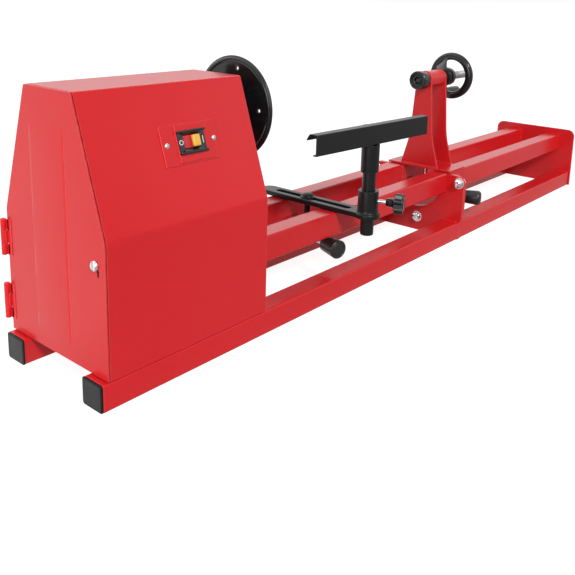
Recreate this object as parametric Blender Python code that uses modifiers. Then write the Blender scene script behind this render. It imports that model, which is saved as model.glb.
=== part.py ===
"""Benchtop wood lathe: a tubular steel bed in two bolted halves, a sheet-metal headstock with a stepped
pulley drive, a tool rest on a slotted arm, and a screw-feed tailstock. The shop frame below is in
millimetres: x from the left end of the base, y from the bed's centre plane (the front is negative), z up
from the floor. Objects are placed in metres about the middle of the machine's footprint."""

import math

import bmesh
import bpy
from mathutils import Matrix, Vector

ORIGIN = (702.5, -33.079, 0.0)

# Base and bed
BASE_LEFT = 4.0
BASE_HALF = 98.5
BASE_TUBE_W = 35.5
BASE_TUBE_H = 34.2
BED_LEFT = 32.0
BED_HALF = 67.5
BED_TUBE_W = 33.5
BED_TUBE_H = 38.5
BED_TOP = 126.0
TUBE_WALL = 2.0
JOINT_X = 815.0
PLATE_T = 5.0
PLATE_HALF = 101.5
JOINT_HALF = 104.5
TAIL_X = 1400.0
TAIL_TOP = 139.5
GAP = 0.3

# Headstock
COVER_LEFT = 11.9
COVER_RIGHT = 265.5
COVER_BOTTOM = 35.7
COVER_HALF = 99.0
KINK_Z = 194.7
COVER_TOP = 351.6
COVER_TOP_HALF = 46.2
SHEET = 1.6
DOOR_X = 9.5
SPINDLE_Z = 300.4
MOTOR_Z = 192.0
HINGE_X = 6.5
HINGE_Y = 103.5
HINGE_R = 3.6
HINGES_Z = (73.5, 157.0)
LATCH = (-80.6, 167.0)
BEARINGS_X = (111.0, 245.0)

# Stepped pulleys, outermost groove first
STEP_W = 16.0
PULLEY_X = 36.0
SPINDLE_STEPS = (44.0, 39.0, 33.5, 27.5)
MOTOR_STEPS = (17.0, 22.0, 27.5, 33.5)

# Tool rest
ARM_X = 473.0
ARM_HALF = 15.5
POST_Y = -118.0
REST_YAW = math.radians(-4.0)
REST_LEN = 264.0
KNOB_Z = 154.0
KNOB_ANGLE = math.radians(-71.0)
LEVER_Z = 70.0
REST_LEVER_ANGLE = math.radians(-104.5)

# Tailstock
CHEEK_X = 822.0
CHEEK_GAP_RIGHT = 878.0
TAIL_BOLT_X = 852.0
WHEEL_X = 931.5
SCREW_R = 7.9
TAIL_LEVER_ANGLE = math.radians(-71.4)

PAINT = (0.62, 0.035, 0.045, 1)
BLACK = (0.02, 0.021, 0.023, 1)
ZINC = (0.62, 0.62, 0.63, 1)
STEEL = (0.5, 0.5, 0.51, 1)
ALUMINIUM = (0.55, 0.56, 0.58, 1)

for old in list(bpy.data.objects):
    bpy.data.objects.remove(old, do_unlink=True)

PARTS = bpy.data.collections.new("wood_lathe")
CUTTERS = bpy.data.collections.new("cutters")
bpy.context.scene.collection.children.link(PARTS)
bpy.context.scene.collection.children.link(CUTTERS)
CUTTERS.hide_render = True


def material(name, colour, roughness, metallic):
    made = bpy.data.materials.new(name)
    made.use_nodes = True
    shader = made.node_tree.nodes["Principled BSDF"]
    shader.inputs["Base Color"].default_value = colour
    shader.inputs["Roughness"].default_value = roughness
    shader.inputs["Metallic"].default_value = metallic
    return made


FINISHES = {
    "paint": (PAINT, 0.32, 0.0),
    "black": (BLACK, 0.38, 0.0),
    "zinc": (ZINC, 0.28, 1.0),
    "steel": (STEEL, 0.35, 1.0),
    "aluminium": (ALUMINIUM, 0.45, 1.0),
    "rubber": ((0.025, 0.025, 0.025, 1), 0.8, 0.0),
    "red_plastic": ((0.6, 0.01, 0.02, 1), 0.4, 0.0),
    "yellow_plastic": ((0.85, 0.6, 0.03, 1), 0.4, 0.0),
    "motor_paint": ((0.05, 0.055, 0.06, 1), 0.5, 0.0),
}


def solid(name, points, faces, pivot=(0, 0, 0), place=None):
    """An object from shop-frame points. Its origin goes to the pivot."""
    home = Vector(pivot)
    mesh = bpy.data.meshes.new(name)
    moved = [place @ Vector(p) if place else Vector(p) for p in points]
    mesh.from_pydata([(p - home) / 1000 for p in moved], [], faces)
    shape = bmesh.new()
    shape.from_mesh(mesh)
    bmesh.ops.recalc_face_normals(shape, faces=shape.faces)
    shape.to_mesh(mesh)
    shape.free()
    made = bpy.data.objects.new(name, mesh)
    made.location = (home - Vector(ORIGIN)) / 1000
    return made


def part(made, finish):
    colour, roughness, metallic = FINISHES[finish]
    made.data.materials.append(material(made.name, colour, roughness, metallic))
    PARTS.objects.link(made)
    return made


def boolean(target, tool, operation):
    CUTTERS.objects.link(tool)
    tool.hide_render = True
    tool.display_type = "WIRE"
    step = target.modifiers.new(operation.lower(), "BOOLEAN")
    step.operation = operation
    step.solver = "EXACT"
    step.object = tool


def cut(target, *tools):
    for tool in tools:
        boolean(target, tool, "DIFFERENCE")


def join(target, *tools):
    for tool in tools:
        boolean(target, tool, "UNION")


def bevel(target, width, segments=1, angle=40):
    step = target.modifiers.new("bevel", "BEVEL")
    step.width = width / 1000
    step.segments = segments
    step.limit_method = "ANGLE"
    step.angle_limit = math.radians(angle)


def smooth(target, angle=35):
    target.data.shade_smooth()
    target.data.set_sharp_from_angle(angle=math.radians(angle))


def on_axis(axis, along, a, b):
    """A point from its distance along an axis and its two other coordinates, in x, y, z order."""
    return {"X": (along, a, b), "Y": (a, along, b), "Z": (a, b, along)}[axis]


def prism(name, outline, axis, low, high, **how):
    count = len(outline)
    points = [on_axis(axis, low, a, b) for a, b in outline] + [on_axis(axis, high, a, b) for a, b in outline]
    faces = [tuple(range(count)), tuple(range(2 * count - 1, count - 1, -1))]
    for i in range(count):
        j = (i + 1) % count
        faces.append((i, j, count + j, count + i))
    return solid(name, points, faces, **how)


def pipe(name, outer, inner, axis, low, high, **how):
    """A prism with a straight hole. Both outlines have the same number of points."""
    count = len(outer)
    points = []
    for along in (low, high):
        for ring in (outer, inner):
            points += [on_axis(axis, along, a, b) for a, b in ring]
    faces = []
    for i in range(count):
        j = (i + 1) % count
        faces.append((i, j, 2 * count + j, 2 * count + i))
        faces.append((count + i, count + j, 3 * count + j, 3 * count + i))
        faces.append((i, j, count + j, count + i))
        faces.append((2 * count + i, 2 * count + j, 3 * count + j, 3 * count + i))
    return solid(name, points, faces, **how)


def block(name, low, high, **how):
    outline = [(low[1], low[2]), (high[1], low[2]), (high[1], high[2]), (low[1], high[2])]
    return prism(name, outline, "X", low[0], high[0], **how)


def ring_points(centre, radius, count, start=0.0):
    turn = 2 * math.pi / count
    return [
        (centre[0] + radius * math.cos(start + i * turn), centre[1] + radius * math.sin(start + i * turn))
        for i in range(count)
    ]


def rod(name, axis, centre, radius, low, high, count=24, **how):
    return prism(name, ring_points(centre, radius, count), axis, low, high, **how)


def rounded(low, high, radius, count=3):
    """A rectangle with rounded corners, anticlockwise from the lower right."""
    corners = [
        (high[0] - radius, low[1] + radius, -90),
        (high[0] - radius, high[1] - radius, 0),
        (low[0] + radius, high[1] - radius, 90),
        (low[0] + radius, low[1] + radius, 180),
    ]
    points = []
    for a, b, start in corners:
        for i in range(count + 1):
            angle = math.radians(start + 90 * i / count)
            points.append((a + radius * math.cos(angle), b + radius * math.sin(angle)))
    return points


def turned(name, profile, axis, centre, count=32, **how):
    """A turned solid. The profile lists (along the axis, radius) and either starts and ends on the axis
    or is a closed loop clear of it."""
    whole = profile[0][1] == 0
    rims = [p for p in profile if p[1] > 0]
    points = []
    for along, radius in rims:
        points += [on_axis(axis, along, a, b) for a, b in ring_points(centre, radius, count)]
    faces = []
    last = len(rims) - 1
    for k in range(last if whole else last + 1):
        n = (k + 1) % len(rims)
        for i in range(count):
            j = (i + 1) % count
            faces.append((k * count + i, k * count + j, n * count + j, n * count + i))
    if whole:
        faces.append(tuple(range(count)))
        faces.append(tuple(range(last * count + count - 1, last * count - 1, -1)))
    made = solid(name, points, faces, **how)
    smooth(made)
    return made


def aimed(centre, direction):
    """Places a shape drawn along +X from the origin so that it points along a direction from a centre."""
    turn = Vector((1, 0, 0)).rotation_difference(Vector(direction).normalized())
    return Matrix.Translation(Vector(centre)) @ turn.to_matrix().to_4x4()


def heading(angle):
    return (math.cos(angle), math.sin(angle), 0.0)


# --- bed frame ---------------------------------------------------------------------------------------


def tube(name, y_low, y_high, z_low, z_high, x_low, x_high):
    outer = rounded((y_low, z_low), (y_high, z_high), 3.0, 2)
    inner = rounded((y_low + TUBE_WALL, z_low + TUBE_WALL), (y_high - TUBE_WALL, z_high - TUBE_WALL), 1.2, 2)
    made = pipe(name, outer, inner, "X", x_low, x_high)
    smooth(made, 30)
    return part(made, "paint")


def rails():
    halves = (
        ("head", BASE_LEFT, BED_LEFT, JOINT_X - GAP),
        ("tail", JOINT_X + 2 * PLATE_T + 2 * GAP, JOINT_X + 2 * PLATE_T + 2 * GAP, TAIL_X - GAP),
    )
    for half, base_from, bed_from, to in halves:
        for side, sign in (("front", -1), ("rear", 1)):
            ys = sorted((sign * BASE_HALF, sign * (BASE_HALF - BASE_TUBE_W)))
            tube(f"base_rail_{side}_{half}", ys[0], ys[1], 0, BASE_TUBE_H, base_from, to)
            ys = sorted((sign * BED_HALF, sign * (BED_HALF - BED_TUBE_W)))
            tube(f"bed_rail_{side}_{half}", ys[0], ys[1], BED_TOP - BED_TUBE_H, BED_TOP, bed_from, to)


def upright_outline(half, top, radius, count=5):
    points = [(-half, 0.0), (half, 0.0)]
    for start, centre in ((0, half - radius), (90, radius - half)):
        for i in range(count + 1):
            angle = math.radians(start + 90 * i / count)
            points.append((centre + radius * math.cos(angle), top - radius + radius * math.sin(angle)))
    return points


def joint_outline():
    """Half of a bolted joint. The opening lets the clamp bolts and plates under the bed pass through.

    The foot is flush with the base rails, and the plate stands out past them from just above."""
    top = BED_TOP - 1.0
    centre, radius, slot = 106.0, 57.0, BED_HALF - BED_TUBE_W
    shelf = BED_TOP - BED_TUBE_H
    reach = math.asin((centre - shelf) / radius)
    outline = upright_outline(JOINT_HALF, top, 20.0)
    side = [(BASE_HALF, 0.0), (BASE_HALF, 33.0), (JOINT_HALF - 1.0, 36.5), (JOINT_HALF, 60.0)]
    right = side + [p for p in outline[2:] if p[0] > slot]
    left = [p for p in outline[2:] if p[0] < -slot] + [(-y, z) for y, z in reversed(side[1:])]
    arc = []
    for i in range(13):
        angle = -reach - (math.pi - 2 * reach) * i / 12
        arc.append((radius * math.cos(angle), centre + radius * math.sin(angle)))
    opening = [(slot, top), (slot, shelf)] + arc + [(-slot, shelf), (-slot, top)]
    return [(-BASE_HALF, 0.0)] + right + opening + left


JOINT_BOLTS = {"front": (-94.0, 111.5), "rear": (94.0, 111.5), "low": (-8.0, 28.0)}


def joint():
    low = JOINT_X
    for half in ("head", "tail"):
        made = prism(f"joint_plate_{half}", joint_outline(), "X", low, low + PLATE_T)
        for spot, (y, z) in JOINT_BOLTS.items():
            cut(made, rod(f"hole_{half}_{spot}", "X", (y, z), 5.5, low - 2, low + PLATE_T + 2, 12))
        part(made, "paint")
        low += PLATE_T + GAP
    face, back = JOINT_X - GAP, JOINT_X + 2 * PLATE_T + 2 * GAP
    for spot, centre in JOINT_BOLTS.items():
        profile = [(face - 8.8, 0), (face - 8.8, 5.8), (face - 2.0, 9.0), (face - 2.0, 10.4), (face, 10.4)]
        profile += [(face, 5.0), (back, 5.0), (back, 7.6), (back + 4.8, 7.6), (back + 4.8, 0)]
        part(turned(f"joint_bolt_{spot}", profile, "X", centre, 12), "zinc")


def tail_plate():
    made = prism("tail_plate", upright_outline(PLATE_HALF, TAIL_TOP, 16.0), "X", TAIL_X, TAIL_X + PLATE_T)
    part(made, "paint")


def end_caps():
    for side, sign in (("front", -1), ("rear", 1)):
        ys = sorted((sign * (BASE_HALF - 0.5), sign * (BASE_HALF - BASE_TUBE_W + 0.5)))
        head = prism(f"end_cap_{side}", rounded((ys[0], 0.5), (ys[1], BASE_TUBE_H - 0.5), 3.0), "X", 0, 3.7)
        bevel(head, 1.2)
        inset = TUBE_WALL
        plug = rounded((ys[0] + inset, 0.5 + inset), (ys[1] - inset, BASE_TUBE_H - 0.5 - inset), 1.5)
        join(head, prism(f"plug_{side}", plug, "X", 3.0, 18.0))
        part(head, "black")


def bulkhead():
    low, high = (-97.0, BASE_TUBE_H + GAP), (97.0, BED_TOP - 4)
    made = prism("headstock_bulkhead", rounded(low, high, 6.0, 2), "X", BED_LEFT - 5.3, BED_LEFT - GAP)
    part(made, "paint")


# --- headstock cover, door and switch ----------------------------------------------------------------


def cover_outline(inset=0.0):
    slope = math.atan2(COVER_HALF - COVER_TOP_HALF, COVER_TOP - KINK_Z)
    side = COVER_HALF - inset
    kink = KINK_Z - inset * math.tan(slope / 2)
    top = COVER_TOP - inset
    top_half = COVER_TOP_HALF - inset * math.tan(math.pi / 4 - slope / 2)
    return side, kink, top, top_half


def cover_polygon(inset, bottom):
    side, kink, top, top_half = cover_outline(inset)
    right = [(side, bottom), (side, kink - 6), (side - 0.5, kink + 1), (side - 2.4, kink + 7.5)]
    right += [(top_half + 1.2, top - 3.4), (top_half - 0.6, top - 0.9), (top_half - 3.4, top)]
    return right + [(-y, z) for y, z in reversed(right)]


SLOPE = math.atan2(COVER_HALF - COVER_TOP_HALF, COVER_TOP - KINK_Z)
SLOPE_UP = Vector((0, math.sin(SLOPE), math.cos(SLOPE)))
SLOPE_OUT = Vector((0, -math.cos(SLOPE), math.sin(SLOPE)))


def on_slope():
    """Shapes for the sloping front are drawn as (x, distance up the slope, height off the sheet)."""
    place = Matrix.Identity(4)
    for row in range(3):
        place[row][0] = 1.0 if row == 0 else 0.0
        place[row][1] = SLOPE_UP[row]
        place[row][2] = SLOPE_OUT[row]
    place[1][3] = -COVER_HALF
    place[2][3] = KINK_Z
    return place


def slope_block(name, low, high, **how):
    return block(name, low, high, place=on_slope(), **how)


def cover():
    made = prism("headstock_cover", cover_polygon(0, COVER_BOTTOM), "X", COVER_LEFT, COVER_RIGHT)
    inner = cover_polygon(SHEET, COVER_BOTTOM - 10)
    cut(made, prism("cover_hollow", inner, "X", COVER_LEFT - 10, COVER_RIGHT - SHEET))
    cut(made, rod("cover_spindle_hole", "X", (0, SPINDLE_Z), 34.0, COVER_RIGHT - 10, COVER_RIGHT + 10, 28))
    for side, sign in (("front", -1), ("rear", 1)):
        ys = sorted((sign * (BED_HALF + 0.5), sign * (BED_HALF - BED_TUBE_W - 0.5)))
        low = (COVER_RIGHT - 10, ys[0], BED_TOP - BED_TUBE_H - 0.5)
        cut(made, block(f"cover_notch_{side}", low, (COVER_RIGHT + 10, ys[1], BED_TOP + 0.5)))
    cut(made, slope_block("cover_switch_hole", (136.0, 78.2, -10), (180.0, 104.8, 10)))
    for spot, x in SWITCH_SCREWS:
        cut(made, rod(f"cover_screw_hole_{spot}", "Z", (x, 91.0), 2.3, -10, 10, 12, place=on_slope()))
    cut(made, rod("cover_gland_hole", "Y", (225.0, 62.0), 6.8, COVER_HALF - 10, COVER_HALF + 10, 14))
    part(made, "paint")


def hinge_leaves():
    for level, z in zip(("lower", "upper"), HINGES_Z):
        name = f"hinge_leaf_{level}"
        leaf = block(name, (HINGE_X + 6.2, COVER_HALF + GAP, z - 23), (30.0, COVER_HALF + 1.8, z + 23))
        tab_low = (HINGE_X, COVER_HALF + GAP, z - 8.6)
        join(leaf, block(f"{name}_tab", tab_low, (HINGE_X + 8, COVER_HALF + 1.8, z + 8.6)))
        join(leaf, rod(f"{name}_knuckle", "Z", (HINGE_X, HINGE_Y), HINGE_R, z - 8.6, z + 8.6, 14))
        join(leaf, rod(f"{name}_pin", "Z", (HINGE_X, HINGE_Y), 1.6, z - 23.5, z + 23.5, 10))
        part(leaf, "paint")


def door():
    polygon = cover_polygon(0.3, COVER_BOTTOM + 0.3)
    pivot = (HINGE_X, HINGE_Y, 0)
    made = prism("headstock_door", polygon, "X", DOOR_X, DOOR_X + 2.0, pivot=pivot)
    panel = block("door_panel", (DOOR_X - 0.8, -31, 57), (DOOR_X + 0.8, 39, 327.5))
    bevel(panel, 0.7)
    join(made, panel)
    for level, z in zip(("lower", "upper"), HINGES_Z):
        join(made, block(f"door_leaf_{level}", (DOOR_X - 1.2, 90, z - 23), (DOOR_X + 0.7, 97.5, z + 23)))
        for end, low, high in (("a", z - 23, z - 9.1), ("b", z + 9.1, z + 23)):
            name = f"door_knuckle_{level}_{end}"
            join(made, block(f"{name}_tab", (DOOR_X - 1.2, 96, low), (DOOR_X + 0.6, HINGE_Y, high)))
            join(made, rod(name, "Z", (HINGE_X, HINGE_Y), HINGE_R, low, high, 14))
        bore = rod(f"door_bore_{level}", "Z", (HINGE_X, HINGE_Y), 1.9, z - 24, z + 24, 10)
        cut(made, bore)
    cut(made, rod("door_latch_hole", "X", LATCH, 3.4, DOOR_X - 5, DOOR_X + 5, 12))
    cut(made, rod("door_keyhole", "X", (LATCH[0] - 4.9, LATCH[1] - 7.8), 2.2, DOOR_X - 5, DOOR_X + 5, 8))
    part(made, "paint")


def latch():
    y, z = LATCH
    pivot = (DOOR_X, y, z)
    profile = [(DOOR_X - 3.4, 0), (DOOR_X - 3.4, 4.2), (DOOR_X - 2.8, 5.4), (DOOR_X - GAP, 6.3)]
    profile += [(DOOR_X - GAP, 3.0), (DOOR_X + 8.8, 3.0), (DOOR_X + 8.8, 0)]
    made = turned("door_latch", profile, "X", LATCH, 14, pivot=pivot)
    cut(made, block("latch_slot", (DOOR_X - 5, y - 0.7, z - 6), (DOOR_X - 2.4, y + 0.7, z + 6)))
    low = (DOOR_X + 6.2, y - 15, z - 3.6)
    join(made, block("latch_cam", low, (DOOR_X + 8.2, y + 3.4, z + 3.6)))
    part(made, "zinc")


SWITCH_SCREWS = (("left", 119.5), ("right", 193.6))


def switch():
    plate = slope_block("switch_plate", (112, 66, GAP), (200, 115, 1.7))
    raised = slope_block("switch_plate_raised", (134, 68, 1.0), (187.5, 113.5, 2.9))
    bevel(raised, 0.8)
    join(plate, raised)
    cut(plate, slope_block("switch_plate_hole", (137.0, 78.6, -10), (176.0, 104.4, 10)))
    for spot, x in SWITCH_SCREWS:
        cut(plate, rod(f"switch_plate_{spot}", "Z", (x, 91.0), 2.3, -10, 10, 12, place=on_slope()))
    part(plate, "paint")
    body = slope_block("switch_body", (137.4, 79.0, -24), (175.6, 104.0, 3.6))
    join(body, slope_block("switch_flange", (135.0, 77.4, 3.2), (178.0, 105.6, 4.6)))
    for edge, low, high in (("low", 77.4, 79.8), ("high", 103.2, 105.6)):
        join(body, slope_block(f"switch_lip_{edge}", (135.0, low, 4.0), (178.0, high, 7.2)))
    cut(body, slope_block("switch_well", (143.2, 83.0, -9), (169.0, 100.8, 20)))
    part(body, "black")
    for spot, x in SWITCH_SCREWS:
        profile = [(-6, 0), (-6, 2.0), (2.0, 2.0), (2.0, 3.7), (3.0, 3.5), (4.0, 2.3), (4.0, 0)]
        screw = turned(f"switch_screw_{spot}", profile, "Z", (x, 91.0), 12, place=on_slope())
        part(screw, "zinc")
    pivot = on_slope() @ Vector((157.0, 91.5, -3.0))
    rocker = slope_block("switch_rocker", (144.2, 83.8, -5.0), (168.0, 100.0, 2.6), pivot=pivot)
    bevel(rocker, 0.8, 1)
    part(rocker, "red_plastic")
    key = slope_block("switch_key", (156.5, 84.6, 2.9), (167.4, 99.2, 7.4), pivot=pivot)
    bevel(key, 1.4)
    part(key, "yellow_plastic")


def gland():
    base = COVER_HALF
    profile = [(base - 9, 6.3), (base + GAP, 6.3), (base + GAP, 10.0), (base + 4.5, 10.0), (base + 9, 7.4)]
    profile += [(base + 9, 4.2), (base - 9, 4.2)]
    part(turned("cable_gland", profile, "Y", (225.0, 62.0), 14), "black")


# --- drive -------------------------------------------------------------------------------------------


def bearing_bracket():
    top = BED_TOP + GAP
    made = block("bearing_bracket", (98, -66, top), (256, 66, top + 6))
    outline = [(-60, top + 4), (60, top + 4), (60, 160), (33, 318), (20, 330), (-20, 330), (-33, 318), (-60, 160)]
    for i, x in enumerate(BEARINGS_X):
        join(made, prism(f"bracket_wall_{i}", outline, "X", x - 4, x + 4))
        join(made, rod(f"bracket_hub_{i}", "X", (0, SPINDLE_Z), 31.0, x - 9, x + 9, 24))
    for i, x in enumerate(BEARINGS_X):
        cut(made, rod(f"bracket_bore_{i}", "X", (0, SPINDLE_Z), 24.0, x - 20, x + 20, 20))
        cut(made, rod(f"bracket_port_{i}", "X", (0, MOTOR_Z), 18.0, x - 20, x + 20, 12))
    part(made, "paint")


def bearings():
    for name, x in zip(("spindle_bearing_rear", "spindle_bearing_front"), BEARINGS_X):
        profile = [(x - 7, 12.8), (x - 7, 16.2), (x - 5.8, 18.3), (x - 7, 20.4), (x - 7, 23.5)]
        profile += [(2 * x - a, r) for a, r in reversed(profile)]
        part(turned(name, profile, "X", (0, SPINDLE_Z), 20), "steel")


def spindle():
    pivot = (0, 0, SPINDLE_Z)
    profile = [(28, 0), (28, 7.0), (29, 8.0), (34, 8.0), (34, 10.0), (102, 10.0), (102, 12.5), (262, 12.5)]
    profile += [(262, 16.5), (282, 16.5), (282, 13.0), (284, 12.4), (321, 12.4), (322, 11.4), (322, 7.2)]
    profile += [(276, 5.6), (276, 0)]
    part(turned("spindle", profile, "X", (0, SPINDLE_Z), 20, pivot=pivot), "steel")


FACE_X = 302.2
FACE_HOLES = ((55.6, 97.4), (48.8, 179.5), (55.6, 277.4), (48.8, 359.5))


def faceplate():
    """Thin disc with a bead round the back of its rim. The holes lie on two circles."""
    web = FACE_X - 2.8
    profile = [(288, 12.9), (288, 22.0), (295.5, 23.0), (web, 27.0), (web, 64.6), (web - 1.6, 66.0)]
    profile += [(web - 1.6, 68.8), (web, 70.4), (web, 72.2), (FACE_X, 72.2), (FACE_X, 12.9)]
    made = turned("faceplate", profile, "X", (0, SPINDLE_Z), 32, pivot=(0, 0, SPINDLE_Z))
    for i, (radius, turn) in enumerate(FACE_HOLES):
        angle = math.radians(turn)
        centre = (radius * math.cos(angle), SPINDLE_Z + radius * math.sin(angle))
        cut(made, rod(f"faceplate_hole_{i}", "X", centre, 2.8, web - 20, web + 20, 8))
    part(made, "black")


def pulley(name, steps, axis_z, bore, pivot):
    profile = [(PULLEY_X, bore)]
    for i, radius in enumerate(steps):
        middle = PULLEY_X + (i + 0.5) * STEP_W
        profile += [(middle - STEP_W / 2, radius), (middle - 5.0, radius), (middle - 3.2, radius - 6.0)]
        profile += [(middle + 3.2, radius - 6.0), (middle + 5.0, radius)]
        profile += [(middle + STEP_W / 2, radius)] if i == 3 else []
    profile.append((PULLEY_X + len(steps) * STEP_W, bore))
    made = turned(name, profile, "X", (0, axis_z), 16, pivot=pivot)
    return part(made, "aluminium")


def belt():
    """An open loop over the outermost grooves, with a tapering section."""
    x = PULLEY_X + STEP_W / 2
    big, small = SPINDLE_STEPS[0] - 5.4, MOTOR_STEPS[0] - 5.4
    distance = SPINDLE_Z - MOTOR_Z
    lean = math.asin((big - small) / distance)
    path = []
    for i in range(13):
        angle = -lean + (math.pi + 2 * lean) * i / 12
        path.append((0.0, SPINDLE_Z, big, angle))
    for i in range(7):
        angle = math.pi + lean + (math.pi - 2 * lean) * i / 6
        path.append((0.0, MOTOR_Z, small, angle))
    section = ((-3.0, 0.0), (3.0, 0.0), (4.4, 4.8), (-4.4, 4.8))
    points = []
    for y, z, radius, angle in path:
        for side, out in section:
            reach = radius + out
            points.append((x + side, y + reach * math.cos(angle), z + reach * math.sin(angle)))
    faces = []
    count = len(path)
    for i in range(count):
        n = (i + 1) % count
        for j in range(4):
            m = (j + 1) % 4
            faces.append((4 * i + j, 4 * i + m, 4 * n + m, 4 * n + j))
    made = solid("drive_belt", points, faces)
    smooth(made)
    part(made, "rubber")


def motor():
    centre = (0, MOTOR_Z)
    profile = [(119, 0), (119, 34), (124, 43), (130, 46), (132, 50), (208, 50), (210, 46)]
    profile += [(218, 43), (223, 34), (223, 0)]
    made = turned("motor_body", profile, "X", centre, 24)
    can = [(145, 0), (145, 14), (147, 16), (198, 16), (200, 14), (200, 0)]
    join(made, turned("motor_capacitor", can, "X", (-50.0, 163.0), 14))
    cut(made, rod("motor_bore", "X", centre, 8.0, 100, 150, 16))
    low = BED_TOP + 6 + 2 * GAP
    for i, y in enumerate((-1, 1)):
        ys = sorted((y * 22, y * 46))
        join(made, block(f"motor_foot_{i}", (140, ys[0], low), (200, ys[1], MOTOR_Z - 30)))
    part(made, "motor_paint")


def motor_shaft():
    pivot = (0, 0, MOTOR_Z)
    profile = [(30, 0), (30, 6.2), (31, 7.0), (148, 7.0), (148, 0)]
    part(turned("motor_shaft", profile, "X", (0, MOTOR_Z), 16, pivot=pivot), "steel")


# --- tool rest ---------------------------------------------------------------------------------------


def rest_clamp():
    pivot = (ARM_X, 0, 0)
    top = BED_TOP + GAP + 8.0 + GAP
    profile = [(58, 0), (58, 5.0), (top, 5.0), (top, 12.0), (top + 2.2, 12.0), (top + 2.2, 9.6)]
    profile += [(top + 5.4, 8.2), (top + 7.6, 4.4), (top + 7.8, 0)]
    made = turned("rest_clamp_bolt", profile, "Z", (ARM_X, 0), 16, pivot=pivot)
    part(made, "black")
    shelf = BED_TOP - BED_TUBE_H - GAP
    low = (ARM_X - 18, -44)
    plate = prism("rest_clamp_plate", rounded(low, (ARM_X + 18, 44), 6.0), "Z", shelf - 7, shelf, pivot=pivot)
    guide = block("rest_clamp_guide", (ARM_X - 15, -31, shelf - 1), (ARM_X + 15, 31, shelf + 8))
    join(plate, guide)
    cut(plate, rod("rest_clamp_hole", "Z", (ARM_X, 0), 5.4, shelf - 20, shelf + 20, 20))
    part(plate, "zinc")


def rest_arm():
    low, high = BED_TOP + GAP, BED_TOP + GAP + 8.0
    pivot = (ARM_X, 0, low)
    outline = [(ARM_X + ARM_HALF, POST_Y)]
    for i in range(9):
        angle = math.pi * i / 8
        outline.append((ARM_X + ARM_HALF * math.cos(angle), 82.5 + ARM_HALF * math.sin(angle)))
    outline.append((ARM_X - ARM_HALF, POST_Y))
    made = prism("rest_arm", outline, "Z", low, high, pivot=pivot)
    bevel(made, 2.0)
    socket = [(low, 0), (low, 18.4), (low + 1, 19.0), (high, 19.0), (high + 2.0, 15.8), (168.6, 15.8)]
    socket += [(169.6, 14.8), (169.6, 0)]
    join(made, turned("rest_socket", socket, "Z", (ARM_X, POST_Y), 24))
    slot = []
    for centre_y, start in ((60.0, 0), (-80.0, 180)):
        for i in range(7):
            angle = math.radians(start + 180 * i / 6)
            slot.append((ARM_X + 5.6 * math.cos(angle), centre_y + 5.6 * math.sin(angle)))
    cut(made, prism("rest_slot", slot, "Z", low - 10, high + 10))
    cut(made, rod("rest_socket_bore", "Z", (ARM_X, POST_Y), 10.6, low - 10, 190, 20))
    place = aimed((ARM_X, POST_Y, KNOB_Z), heading(KNOB_ANGLE))
    cut(made, rod("rest_socket_screw_hole", "X", (0, 0), 3.4, 5, 30, 12, place=place))
    part(made, "black")


def rest_post():
    profile = [(99, 0), (99, 9.4), (100, 10.2), (231, 10.2), (232, 9.2), (232, 0)]
    made = turned("rest_post", profile, "Z", (ARM_X, POST_Y), 20, pivot=(ARM_X, POST_Y, 134.3))
    part(made, "black")


def rest_bar():
    """The folded bar with its collar. The outline is drawn as (distance behind the web, height)."""
    fold = [(0, 241.2), (0, 271.2), (13.8, 271.2), (19.8, 262.2), (18.1, 261.1), (12.7, 269.2), (2, 269.2)]
    fold += [(2, 243.2), (7, 243.2), (7, 241.2)]
    pivot = (ARM_X, POST_Y, 241.2)
    along = Vector(heading(REST_YAW))
    left = Vector((341.1, -119.0, 0.0))
    turn = Matrix.Rotation(REST_YAW, 4, "Z")
    place = Matrix.Translation(left) @ turn
    made = prism("rest_bar", fold, "X", 0, REST_LEN, pivot=pivot, place=place)
    reach = (Vector(pivot) - left).dot(along)
    top = 258.0
    collar = [(199.6, 12.9), (200.4, 13.7), (top, 13.7), (top, 10.6), (199.6, 10.6)]
    ring = turned("rest_collar", collar, "Z", (ARM_X, POST_Y), 20)
    front = block("rest_collar_front", (reach - 30, -20, 241.2), (reach + 30, 1.0, 300), place=place)
    cut(ring, front)
    join(made, ring)
    cap = turned("rest_collar_cap", [(250, 0), (250, 12.0), (257, 12.0), (257, 0)], "Z", (ARM_X, POST_Y), 20)
    capped = block("rest_cap_front", (reach - 30, -20, 241.2), (reach + 30, 1.0, 300), place=place)
    cut(cap, capped)
    join(made, cap)
    screw = rod("rest_collar_screw_hole", "X", (POST_Y, 206.5), 2.9, ARM_X + 5, ARM_X + 30, 12)
    cut(made, screw)
    part(made, "black")


def collar_screw():
    x = ARM_X
    pivot = (x, POST_Y, 206.5)
    profile = [(x + 10.8, 0), (x + 10.8, 2.5), (x + 15.2, 2.5), (x + 15.2, 3.9), (x + 20.2, 3.9), (x + 21.0, 3.1)]
    profile += [(x + 21.0, 0)]
    made = turned("collar_screw", profile, "X", (POST_Y, 206.5), 12, pivot=pivot)
    cut(made, rod("collar_screw_socket", "X", (POST_Y, 206.5), 1.7, x + 17.5, x + 30, 6))
    part(made, "zinc")


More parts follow.
